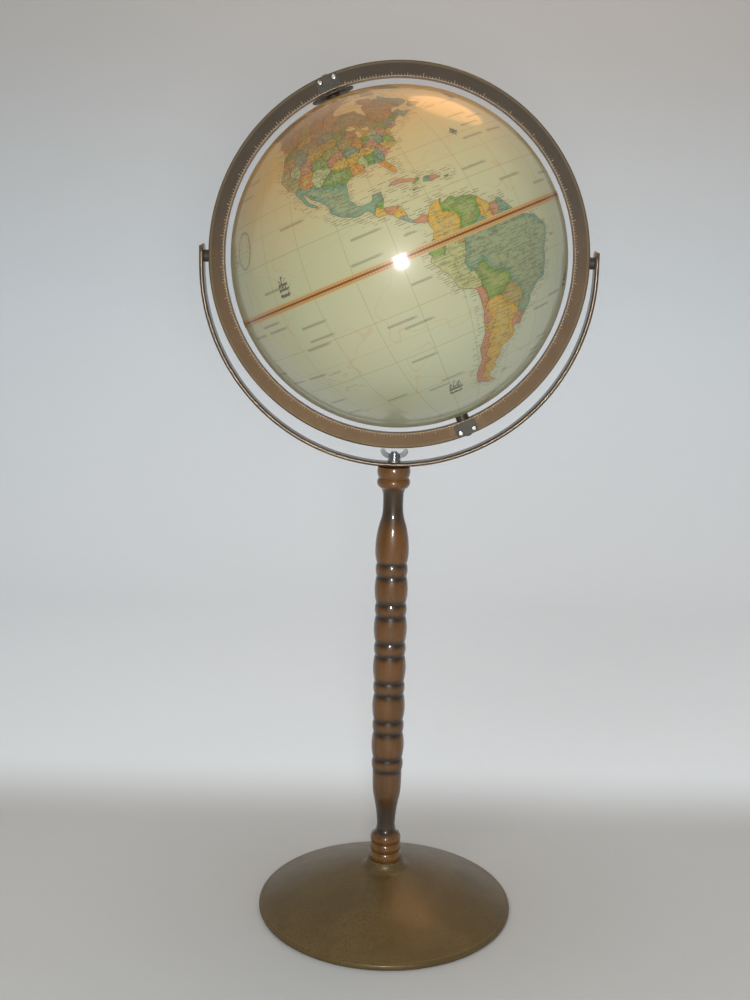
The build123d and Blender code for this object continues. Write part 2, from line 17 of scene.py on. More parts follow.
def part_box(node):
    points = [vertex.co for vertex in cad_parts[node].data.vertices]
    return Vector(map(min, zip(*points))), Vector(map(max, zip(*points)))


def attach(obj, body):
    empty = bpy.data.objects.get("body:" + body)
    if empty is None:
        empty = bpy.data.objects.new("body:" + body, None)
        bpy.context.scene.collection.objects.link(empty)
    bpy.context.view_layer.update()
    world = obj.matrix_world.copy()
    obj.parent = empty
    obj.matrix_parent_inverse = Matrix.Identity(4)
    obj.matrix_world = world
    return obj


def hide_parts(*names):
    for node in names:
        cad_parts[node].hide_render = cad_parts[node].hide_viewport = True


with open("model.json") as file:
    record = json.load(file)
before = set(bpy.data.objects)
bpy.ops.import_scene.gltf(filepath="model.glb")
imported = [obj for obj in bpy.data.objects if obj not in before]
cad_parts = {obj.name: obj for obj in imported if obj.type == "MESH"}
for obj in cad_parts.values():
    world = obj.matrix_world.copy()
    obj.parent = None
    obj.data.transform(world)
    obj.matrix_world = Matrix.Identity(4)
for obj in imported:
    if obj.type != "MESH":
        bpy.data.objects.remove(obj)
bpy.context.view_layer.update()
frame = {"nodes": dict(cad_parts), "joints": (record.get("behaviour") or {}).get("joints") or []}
nodes = frame["nodes"]

# %% [markdown]
# The globe's own frame comes from the boxes of the parts: the ring gives the centre, and the
# joint that spins the ball gives the axis. East is square to it in the ring's plane.

# %% The globe's axis and centre
ring_low, ring_high = (np.array(corner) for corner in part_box("meridian_ring"))
ring_centre = (ring_low + ring_high) / 2
ring_outer = (ring_high[2] - ring_low[2]) / 2
shells = np.array([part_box("north_hemisphere"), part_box("south_hemisphere")])
ball_low, ball_high = shells[:, 0].min(axis=0), shells[:, 1].max(axis=0)
ball_radius = (ball_high[1] - ball_low[1]) / 2
ball_centre = (ball_low + ball_high) / 2
spin = next(j for j in frame["joints"] if j["name"] == "globe_spin")
north = np.array(spin["axis"]) / np.linalg.norm(spin["axis"])
facing = np.array([0.0, -1.0, 0.0])
east = np.cross(facing, north) * -1
RING_FACE = 0.01425  # width of the ring's flat face
ring_inner = ring_outer - RING_FACE
print("ball radius", round(ball_radius, 5), "centre", ball_centre.round(5))
print("ring radius", round(ring_outer, 4))

# %% [markdown]
# The camera stands level with the ball's centre and looks slightly down, so that the whole stand
# is in the picture. Its place is given from the ring's centre.

# %% Camera
CAMERA_DISTANCE = 1.165
CAMERA_RISE = -0.001
CAMERA_PITCH = math.radians(10.8)
CAMERA_ROLL = math.radians(1.16)
CAMERA_YAW = math.radians(-0.845)
FOCAL_SHARE = 1.257  # focal length as a share of the picture's height


def make_camera():
    """The view direction from yaw and pitch, then a roll about it."""
    data = bpy.data.cameras.new("camera")
    data.sensor_fit = "VERTICAL"
    data.sensor_height = 36.0
    data.lens = FOCAL_SHARE * data.sensor_height
    data.clip_start, data.clip_end = 0.05, 30.0
    camera = bpy.data.objects.new("camera", data)
    bpy.context.scene.collection.objects.link(camera)
    forward = Vector((math.sin(CAMERA_YAW) * math.cos(CAMERA_PITCH),
                      math.cos(CAMERA_YAW) * math.cos(CAMERA_PITCH), -math.sin(CAMERA_PITCH)))
    right = Vector((math.cos(CAMERA_YAW), -math.sin(CAMERA_YAW), 0.0))
    up = right.cross(forward)
    turned_right = right * math.cos(CAMERA_ROLL) + up * math.sin(CAMERA_ROLL)
    turned_up = up * math.cos(CAMERA_ROLL) - right * math.sin(CAMERA_ROLL)
    place = Vector((0.0, -CAMERA_DISTANCE, ring_centre[2] + CAMERA_RISE))
    camera.matrix_world = Matrix((
        (turned_right.x, turned_up.x, -forward.x, place.x),
        (turned_right.y, turned_up.y, -forward.y, place.y),
        (turned_right.z, turned_up.z, -forward.z, place.z),
        (0, 0, 0, 1)))
    bpy.context.scene.camera = camera
    return camera


camera = make_camera()
print("camera at", camera.matrix_world.translation[:])

# %% [markdown]
# Materials are built with a small helper that adds a node and links its inputs in one call, so
# that each finish below reads as a recipe. Patterns read Object coordinates, in metres, or the
# attributes that the gores carry.

# %% A helper that writes shader recipes


class Recipe:
    """Builds nodes in one tree; an input may be a socket, a number or a colour."""

    def __init__(self, tree):
        self.tree = tree

    def put(self, socket, value):
        if isinstance(value, bpy.types.NodeSocket):
            self.tree.links.new(value, socket)
        else:
            socket.default_value = value

    def node(self, kind, inputs=(), **settings):
        made = self.tree.nodes.new(kind)
        for name, value in settings.items():
            setattr(made, name, value)
        for key, value in dict(inputs).items():
            self.put(made.inputs[key], value)
        return made

    def math(self, operation, a, b=0.0):
        return self.node("ShaderNodeMath", {0: a, 1: b}, operation=operation).outputs[0]

    def times(self, a, b):
        return self.math("MULTIPLY", a, b)

    def plus(self, a, b):
        return self.math("ADD", a, b)

    def minus(self, a, b):
        return self.math("SUBTRACT", a, b)

    def larger(self, a, b):
        return self.math("MAXIMUM", a, b)

    def absolute(self, a):
        return self.math("ABSOLUTE", a)

    def length(self, a, b):
        """The square root of the two squares' sum."""
        return self.math("SQRT", self.plus(self.times(a, a), self.times(b, b)))

    def parts(self, vector):
        """The vector's x, y and z."""
        return self.node("ShaderNodeSeparateXYZ", {0: vector}).outputs

    def from_point(self, place, point):
        inputs = {0: place, 1: tuple(point)}
        return self.node("ShaderNodeVectorMath", inputs, operation="SUBTRACT").outputs[0]

    def along(self, vector, direction):
        """How far the vector reaches along a direction: their dot product."""
        inputs = {0: vector, 1: tuple(direction)}
        made = self.node("ShaderNodeVectorMath", inputs, operation="DOT_PRODUCT")
        return made.outputs["Value"]

    def mix(self, share, a, b):
        made = self.node("ShaderNodeMix", {0: share, 6: a, 7: b}, data_type="RGBA")
        return made.outputs[2]

    def noise(self, place, scale, detail=3.0, rough=0.5):
        return self.node("ShaderNodeTexNoise", {"Vector": place, "Scale": scale, "Detail": detail,
                                                "Roughness": rough}).outputs["Fac"]

    def step(self, value, low, high):
        """0 under low, 1 over high, smooth between; low may be above high."""
        made = self.node("ShaderNodeMapRange", {"Value": value, "From Min": low, "From Max": high},
                         interpolation_type="SMOOTHSTEP")
        return made.outputs[0]

    def stretch(self, place, scale):
        made = self.node("ShaderNodeVectorMath", {0: place, 1: scale}, operation="MULTIPLY")
        return made.outputs[0]

    def object_place(self):
        return self.node("ShaderNodeTexCoord").outputs["Object"]

    def value(self, name):
        return self.node("ShaderNodeAttribute", attribute_name=name).outputs["Fac"]

    def bump(self, height, strength, distance):
        made = self.node("ShaderNodeBump",
                         {"Height": height, "Strength": strength, "Distance": distance})
        return made.outputs[0]


def new_material(name, **fixed):
    """A material with one Principled shader, whose fixed numbers are set on its own sockets."""
    material = bpy.data.materials.new(name)
    material.use_nodes = True
    shader = material.node_tree.nodes["Principled BSDF"]
    for key, value in fixed.items():
        shader.inputs[key.replace("_", " ")].default_value = value
    return material, Recipe(material.node_tree), shader


print("steps:", ", ".join(name for name in vars(Recipe) if not name.startswith("_")))

# %% [markdown]
# Two effects turn up in many finishes: a speckle, for enamel and cast paint, and a wear mask that
# finds edges. Each is a node group with named inputs, made once.

# %% Shared node groups


def make_speckle_group():
    """Two sizes of noise, each cut at a level, give dark and light specks; a slow one clouds."""
    group = bpy.data.node_groups.new("speckle", "ShaderNodeTree")
    for name, kind, start in (("Place", "NodeSocketVector", None),
                              ("Size", "NodeSocketFloat", 900.0),
                              ("Base", "NodeSocketColor", (0.2, 0.2, 0.2, 1)),
                              ("Dark", "NodeSocketColor", (0.1, 0.1, 0.1, 1)),
                              ("Light", "NodeSocketColor", (0.4, 0.4, 0.4, 1))):
        socket = group.interface.new_socket(name, in_out="INPUT", socket_type=kind)
        if start is not None:
            socket.default_value = start
    group.interface.new_socket("Color", in_out="OUTPUT", socket_type="NodeSocketColor")
    group.interface.new_socket("Height", in_out="OUTPUT", socket_type="NodeSocketFloat")
    r = Recipe(group)
    start = r.node("NodeGroupInput")
    fine = r.noise(start.outputs["Place"], start.outputs["Size"], 2.0, 0.6)
    coarse = r.noise(start.outputs["Place"], r.times(start.outputs["Size"], 0.36), 3.0, 0.6)
    cloud = r.noise(start.outputs["Place"], r.times(start.outputs["Size"], 0.02), 4.0, 0.6)
    color = r.mix(r.step(coarse, 0.52, 0.62), start.outputs["Base"], start.outputs["Dark"])
    color = r.mix(r.step(fine, 0.60, 0.70), color, start.outputs["Light"])
    color = r.mix(r.step(cloud, 0.35, 0.70), color, start.outputs["Dark"])
    color = r.mix(0.55, start.outputs["Base"], color)
    end = r.node("NodeGroupOutput")
    r.put(end.inputs["Color"], color)
    r.put(end.inputs["Height"], r.plus(fine, coarse))
    return group


def make_wear_group():
    """Edge wear: Pointiness above the flat value, broken up by noise."""
    group = bpy.data.node_groups.new("edge wear", "ShaderNodeTree")
    group.interface.new_socket("Place", in_out="INPUT", socket_type="NodeSocketVector")
    group.interface.new_socket("Amount", in_out="INPUT", socket_type="NodeSocketFloat")
    group.interface.new_socket("Mask", in_out="OUTPUT", socket_type="NodeSocketFloat")
    r = Recipe(group)
    start = r.node("NodeGroupInput")
    sharp = r.node("ShaderNodeNewGeometry").outputs["Pointiness"]
    broken = r.noise(start.outputs["Place"], 180.0, 4.0, 0.65)
    edge = r.step(sharp, 0.515, 0.56)
    rubbed = r.times(edge, r.step(broken, 0.42, 0.62))
    mask = r.times(rubbed, start.outputs["Amount"])
    end = r.node("NodeGroupOutput")
    r.put(end.inputs["Mask"], mask)
    return group


speckle_group = make_speckle_group()
wear_group = make_wear_group()
print("groups", speckle_group.name, wear_group.name)


def place_group(recipe, group, **inputs):
    made = recipe.node("ShaderNodeGroup", node_tree=group)
    for name, value in inputs.items():
        recipe.put(made.inputs[name], value)
    return made

# %% [markdown]
# The map is drawn from coastlines written as longitude and latitude in degrees, east and north
# positive. Only the points that a coast's shape needs are given; the small bays and capes come
# later from a warp, which shakes every coast in the same way an engraver's hand does.

# %% Coastlines of the mainlands
COASTS = {
    "north america": [
        (-168, 65.5), (-162, 67), (-166, 68.5), (-157, 71.2), (-141, 69.7), (-135, 69), (-128, 70.3),
        (-124, 69.5), (-115, 68.2), (-108, 68), (-97, 68), (-95, 71.8), (-92, 71), (-88, 68.2),
        (-82, 69.5), (-81, 67.5), (-87, 66), (-87, 64), (-94, 61), (-94.7, 58.5), (-92.5, 57),
        (-88, 56.5), (-82.3, 55.2), (-82, 53), (-80, 51.3), (-79, 52), (-79, 54.7), (-76.7, 57),
        (-78.5, 58.8), (-77.5, 62.4), (-73.5, 62), (-70, 61), (-69.5, 58.9), (-66, 58.7),
        (-64.5, 60.3), (-62, 57.5), (-57.5, 54.7), (-56, 52), (-60, 50.2), (-66.5, 50.2), (-70, 47),
        (-65, 48.8), (-64.2, 46.5), (-60.2, 46), (-65.5, 43.6), (-67, 45), (-70, 43.7), (-70.7, 42),
        (-70, 41.6), (-74, 40.6), (-75.5, 38), (-76, 36.9), (-75.6, 35.3), (-78, 33.9), (-81, 31.8),
        (-81.4, 30), (-80, 26.8), (-80.4, 25.2), (-81.8, 26), (-82.8, 28), (-84, 30.1), (-89.5, 30.3),
        (-89.2, 29.1), (-91.5, 29.4), (-94.7, 29.4), (-97.2, 27.7), (-97.7, 22.5), (-96, 19),
        (-94.5, 18.2), (-92, 18.6), (-90.7, 19.5), (-90.3, 21), (-87, 21.5), (-87.5, 19),
        (-88.3, 17), (-88.7, 15.8), (-86, 15.9), (-83.3, 15), (-83.5, 12.5), (-83.7, 11),
        (-82.2, 9.1), (-79.6, 9.6), (-77.4, 8.6), (-76.5, 7.5), (-78, 7.2), (-80, 7.4), (-83, 8.3),
        (-85.7, 10), (-87.5, 12.8), (-91.5, 14), (-94, 16.2), (-96.5, 15.7), (-101.7, 17.8),
        (-105.5, 20), (-105.3, 21.5), (-108.8, 25.5), (-112, 29), (-114.7, 31.7), (-112.8, 28),
        (-110.5, 24.5), (-109.5, 23), (-112.2, 25), (-114, 27.5), (-115.8, 30), (-117.2, 32.6),
        (-120.6, 34.5), (-122.4, 37.5), (-124.3, 40.3), (-124, 46.2), (-124.6, 48.4), (-122.8, 49),
        (-127.5, 51), (-130.3, 54.5), (-134, 58), (-139.5, 59.7), (-146, 61), (-151.5, 59.3),
        (-153.5, 58.5), (-158.5, 56), (-163, 54.8), (-158, 58.6), (-162, 59.9), (-165.5, 61.5),
        (-161, 64.5)],
    "south america": [
        (-77.4, 8.5), (-75.6, 10.6), (-74, 11.2), (-71.7, 12.3), (-71.5, 10.8), (-68.3, 11.2),
        (-66, 10.5), (-62, 10.6), (-60, 8.5), (-57, 6), (-52, 4.8), (-50, 1.5), (-48.3, -0.8),
        (-44.5, -2.5), (-39.8, -2.9), (-37, -4.8), (-35.2, -5.5), (-34.8, -8), (-37.2, -11.3),
        (-38.9, -13.5), (-39.2, -17.8), (-40.9, -22), (-43.5, -23), (-46.5, -24.1), (-48.6, -26),
        (-48.8, -28.6), (-52.2, -32.2), (-54.2, -34.7), (-58.3, -34.2), (-57, -36.4), (-57.8, -38.1),
        (-62.2, -39), (-65, -41), (-63.8, -42.5), (-65.4, -45), (-67.5, -46.2), (-65.8, -47.8),
        (-69, -51), (-68.4, -52.5), (-65.2, -54.8), (-68, -55.6), (-72, -54), (-74.9, -51.8),
        (-75.5, -47), (-73.2, -42), (-73.6, -37.2), (-71.5, -32), (-70.4, -25), (-70.3, -18.4),
        (-76.2, -14), (-79.8, -7.2), (-81.3, -4.7), (-80, -3.2), (-80.9, -2.2), (-80, 0.8),
        (-77.2, 3.9), (-77.9, 7.2)],
    "europe and asia": [
        (-9.4, 38.7), (-8.8, 43.3), (-1.5, 43.6), (-1.2, 46), (-4.6, 48.4), (-1.5, 49.6), (1.5, 50.5),
        (4.5, 52.6), (8.5, 53.8), (8.2, 57), (10.6, 57.5), (10.5, 54.5), (14, 54), (19.5, 54.5),
        (21.2, 57), (24, 57.3), (24, 59.3), (29.5, 59.9), (25, 60.3), (22, 60), (21.5, 62.8),
        (25, 65), (22, 65.7), (17.3, 61.5), (18.7, 60), (16.5, 56.8), (14, 55.5), (12.7, 56),
        (11, 59), (8, 58.1), (5.2, 59.5), (5.3, 62), (11, 64.5), (14.5, 68), (20, 70), (28, 71.1),
        (40.5, 67.5), (33, 66.6), (35, 64.3), (40, 64.7), (44, 66.3), (44, 68.5), (54, 68.5),
        (60.5, 69), (68, 68.7), (67, 71.5), (72.7, 72.8), (72.5, 67.5), (75, 68), (75, 72),
        (81, 73.5), (87, 75), (104, 77.6), (113, 74), (127, 73), (131, 71), (140, 72.5), (160, 70),
        (170, 69.8), (180, 68.9), (190.2, 66), (181, 64.5), (179.5, 62.5), (170.5, 60), (163, 59.5),
        (162, 56), (156.8, 51), (156, 57), (163.5, 62), (155, 59.3), (142.5, 59.3), (135.3, 54.7),
        (141.3, 52.5), (139, 47.5), (131.5, 43), (127.6, 39.8), (129.4, 36.5), (129, 35.2),
        (126.3, 34.5), (126.7, 37), (125, 39.6), (121.3, 38.8), (121.5, 40.8), (118, 39),
        (119, 37.2), (122.5, 37), (119.3, 35), (121.8, 31.8), (121.5, 28.3), (117, 23.5),
        (110.3, 21), (108, 21.7), (105.8, 19), (109.3, 13), (107, 10.3), (104.8, 8.7), (105, 10.4),
        (102.3, 12.2), (100.6, 13.4), (99.3, 10), (103.4, 4.5), (103.8, 1.4), (101.3, 2.8),
        (98.3, 8), (98.7, 12), (97.6, 16.5), (94.3, 16), (94, 19), (91.8, 22.4), (88.5, 21.7),
        (86.9, 20.7), (82.3, 16.6), (80.3, 15), (79.9, 10.3), (77.5, 8.1), (76, 11), (73, 17),
        (72.8, 21), (70.3, 20.9), (69, 22.4), (67, 24.8), (61.5, 25.2), (57.2, 26.7), (54, 26.7),
        (51, 28), (48.5, 30.2), (48, 29), (50.2, 26.5), (51.5, 24.5), (54, 24.2), (56.3, 26.2),
        (59.8, 22.5), (55, 17), (45, 12.8), (43.3, 13), (42.8, 16.5), (39.1, 21.5), (35, 28),
        (34.5, 29.2), (33, 28.5), (32.4, 31), (34.2, 31.2), (35.8, 35.5), (36, 36.7), (30.5, 36.5),
        (27.5, 36.8), (26.3, 39.2), (29, 41), (35, 42), (41.5, 41.5), (38, 44.4), (39, 47.2),
        (35, 46), (33.5, 44.5), (30.8, 46.5), (28.6, 44), (28, 42), (28.9, 41.2), (26, 40.7),
        (23.7, 40.3), (24, 37.7), (22.5, 36.5), (20, 39.5), (19.4, 41.8), (14, 45), (12.3, 45.2),
        (13.6, 43.5), (16.2, 41.8), (18.5, 40.1), (16.9, 40.4), (16.6, 38.8), (15.7, 38),
        (15.5, 40), (12.2, 41.7), (10.3, 43.6), (7.5, 43.8), (3.2, 43.2), (3.2, 41.8), (-0.3, 39.4),
        (-0.5, 38), (-2.2, 36.7), (-5.6, 36), (-6.5, 37), (-9, 37)],
    "africa": [
        (-5.9, 35.8), (-2, 35.1), (10, 37.3), (11, 34), (15.5, 32.2), (20, 31), (20, 32.5),
        (25, 31.7), (31, 31.5), (33, 31.2), (32.6, 29.8), (35.5, 24), (37.3, 20.8), (39.7, 15.2),
        (43.2, 12), (44, 10.5), (51.3, 11.9), (48, 4.5), (42, -1.5), (39.3, -5), (40.6, -11),
        (40.7, -15), (34.9, -20), (35.5, -24), (32.7, -26.5), (30.5, -31), (27, -33.7), (20, -34.8),
        (18.3, -33.5), (15, -27), (11.8, -18), (13.6, -12), (12, -5.5), (8.8, -0.8), (9.8, 3.5),
        (6, 4.3), (1.2, 6), (-7.5, 4.4), (-13.3, 8.7), (-17.4, 14.7), (-16.2, 19), (-17, 21),
        (-13, 27.7), (-9.8, 30), (-9.2, 32.5)],
    "australia": [
        (113.8, -22), (114, -26.5), (115.7, -32), (115, -34.3), (118, -35), (124, -33.2),
        (131, -31.5), (135.8, -34.8), (138, -33), (137.8, -35.5), (140, -37.8), (143.5, -38.8),
        (146.3, -39), (150, -37.3), (153, -31.5), (153.2, -26), (150.8, -23.3), (146.3, -19),
        (145.3, -15), (142.6, -10.8), (141.6, -13), (140.8, -17.4), (136, -15), (136.8, -12.2),
        (132.5, -11.3), (129.8, -14.8), (126, -14), (122.3, -18), (119, -20)],
    "antarctica": [
        (-180, -78), (-160, -77.5), (-150, -76.5), (-130, -74), (-110, -75), (-100, -72.5),
        (-80, -73), (-70, -69), (-62, -65), (-57, -63.3), (-60, -67), (-62, -75), (-40, -78),
        (-28, -76), (-18, -72.5), (0, -70), (20, -70), (40, -69), (55, -66.5), (70, -68.5),
        (75, -69.5), (90, -66.7), (110, -66), (130, -66.3), (145, -67), (160, -69.5), (170, -72),
        (165, -77.5), (180, -78), (180, -95), (-180, -95)],
}
print("mainland points", sum(len(coast) for coast in COASTS.values()))

# %% Coastlines of the islands, and inland waters
ISLANDS = [
    [(-73, 78.2), (-60, 82), (-32, 83.6), (-12, 81.5), (-18, 77), (-20, 74), (-22, 70.5), (-32, 68),
     (-40, 65), (-43.5, 60), (-48, 61), (-52, 64.5), (-53.5, 67.5), (-51, 70), (-55, 72.5),
     (-60, 76), (-68.5, 76)],
    [(-80.5, 73.8), (-76, 72.7), (-68, 70.5), (-62, 66.7), (-65, 62), (-72, 64), (-73, 67.5),
     (-78, 70), (-88, 71), (-86, 73.5)],
    [(-117, 73), (-105, 73), (-102, 69.5), (-115, 69.2), (-118, 71.5)],
    [(-125, 72), (-122, 74.3), (-116, 73.5), (-122, 71.2)],
    [(-90, 76.5), (-77, 77), (-62, 82.4), (-75, 83), (-92, 81.5)],
    [(-95, 77), (-80, 75.7), (-81, 74.5), (-92, 74.7)],
    [(-117, 75.5), (-106, 76.2), (-107, 74.7)], [(-86, 65.5), (-80.5, 64), (-86, 63.5)],
    [(-59.2, 47.7), (-56, 51.5), (-53, 47.2), (-55.5, 46.9)],
    [(-128, 50.7), (-123.5, 48.4), (-125, 49)],
    [(-84.8, 21.9), (-82, 23.1), (-77.5, 21.8), (-74.3, 20.2), (-77.6, 19.9), (-78, 21)],
    [(-74.3, 18.5), (-73, 19.9), (-69.8, 19.7), (-68.5, 18.4), (-71, 17.8)],
    [(-78.3, 18.4), (-76.3, 18.1), (-77.5, 17.8)],
    [(-67.2, 18.5), (-65.7, 18.4), (-66, 17.9), (-67.2, 18)],
    [(49.3, -12), (50.4, -15.5), (47.2, -25), (44.3, -25), (43.5, -22), (44.5, -16.3)],
    [(144.7, -41), (148.3, -41), (147, -43.6)],
    [(173, -34.5), (178.5, -37.7), (176.8, -40), (175, -41.5), (174.7, -38)],
    [(172.7, -40.7), (174.2, -41.7), (170.7, -45.9), (168.5, -46.6), (166.5, -45.9)],
    [(131, -0.8), (135, -3.3), (141, -2.6), (147.5, -6), (150.7, -10.5), (146, -8.8), (143, -9.2),
     (138, -8.3), (137.8, -5.3), (133, -4)],
    [(109, 1.5), (111.5, 2.5), (116.8, 7), (119, 5), (117.7, 1), (116.3, -3.8), (111.7, -3.4),
     (110, -1.5)],
    [(95.3, 5.6), (98, 4), (103.5, -1), (106, -3.2), (105.7, -5.8), (102, -4), (98.7, 1.5)],
    [(105.3, -6.8), (108.5, -6.7), (114.4, -7.7), (114.4, -8.6), (108, -7.8)],
    [(119.8, 0.5), (125, 1.5), (121, 0.4), (121, -1), (123, -1), (122.5, -4.5), (120.5, -3),
     (120.4, -5.5), (119.5, -5), (119, -3)],
    [(120.5, 18.5), (122.2, 18.4), (121.6, 15.8), (124, 12.7), (120.7, 13.8), (120, 16)],
    [(122, 7), (123.5, 8.6), (125.5, 9.8), (126.4, 7), (125.5, 5.8), (124, 7)],
    [(131, 34.2), (133, 35.5), (136.8, 37.3), (140, 40.5), (141.5, 41.4), (142, 39.5), (140.8, 35.8),
     (138.2, 34.6), (135.7, 33.5), (132.5, 34.2)],
    [(140, 42), (141.8, 45.4), (145.5, 43.3), (143.2, 42)],
    [(129.8, 33), (131.7, 33.6), (131.2, 31.3), (130, 31.5)],
    [(120.2, 23), (121.5, 25.2), (120.9, 22)], [(142, 46), (143, 54.3), (144.5, 49)],
    [(79.8, 8), (80, 9.7), (81.8, 7.2), (80.5, 6)],
    [(-5.6, 50.1), (-3.5, 51.4), (-5, 51.8), (-4.4, 53), (-3, 53.6), (-5, 55), (-6, 57), (-5, 58.6),
     (-3, 58.6), (-2, 57.5), (-1.5, 55.2), (0.3, 53), (1.7, 52.6), (1.2, 51.2), (-3.5, 50.3)],
    [(-10, 52), (-10, 54), (-7.5, 55.3), (-5.7, 54.3), (-6.4, 52.2)],
    [(-24, 65.5), (-20, 66), (-14.7, 66), (-14, 64.8), (-19, 63.4), (-22.6, 64)],
    [(11, 79.5), (20, 80.3), (26, 79.8), (17, 76.6)],
    [(52, 71), (57, 74), (68, 76.8), (60, 74.5), (57, 70.7)],
    [(95, 79), (100, 81), (105, 79)], [(138, 75.5), (150, 75.2), (141, 74)],
    [(8.3, 39), (9.5, 43), (9.7, 39.3)], [(12.5, 38), (15.5, 38.2), (15, 36.8)],
    [(-156.1, 20.3), (-154.8, 19.5), (-155.8, 18.9)], [(-61, -51.3), (-58, -51.4), (-59.5, -52.3)],
]
WATERS = [
    [(50, 46.8), (53, 46.5), (53, 42), (54, 37.2), (50, 37.5), (49.5, 40.5), (47.5, 43)],
    [(-92, 46.8), (-88, 48.8), (-84.7, 46.6), (-87.5, 46.6)],
    [(-87.6, 41.8), (-86.3, 42), (-85.2, 45.5), (-87.5, 45)], [(-84, 45.8), (-80, 45.3), (-82.4, 43.1)],
    [(-83.3, 41.7), (-79, 42.8), (-81, 41.6)], [(-79.7, 43.3), (-76.3, 44.1), (-77, 43.3)],
    [(-124, 66.3), (-118, 66.5), (-120, 65.2)], [(-116, 61.3), (-110, 62.6), (-112, 61)],
    [(-98.8, 53.6), (-96.6, 50.6), (-98.5, 51.8)], [(32, 0.5), (34, 0.4), (33.5, -2.3), (31.8, -2)],
    [(104, 51.6), (109.5, 55.5), (108, 53)], [(58.5, 46), (61.5, 45.5), (59, 43.8)],
]
print("islands", len(ISLANDS), "inland waters", len(WATERS))

# %% [markdown]
# Each country is given by a few places inside it and a colour of ink. A point of land belongs to
# the country whose place is nearest, and a border runs where two countries are equally near.

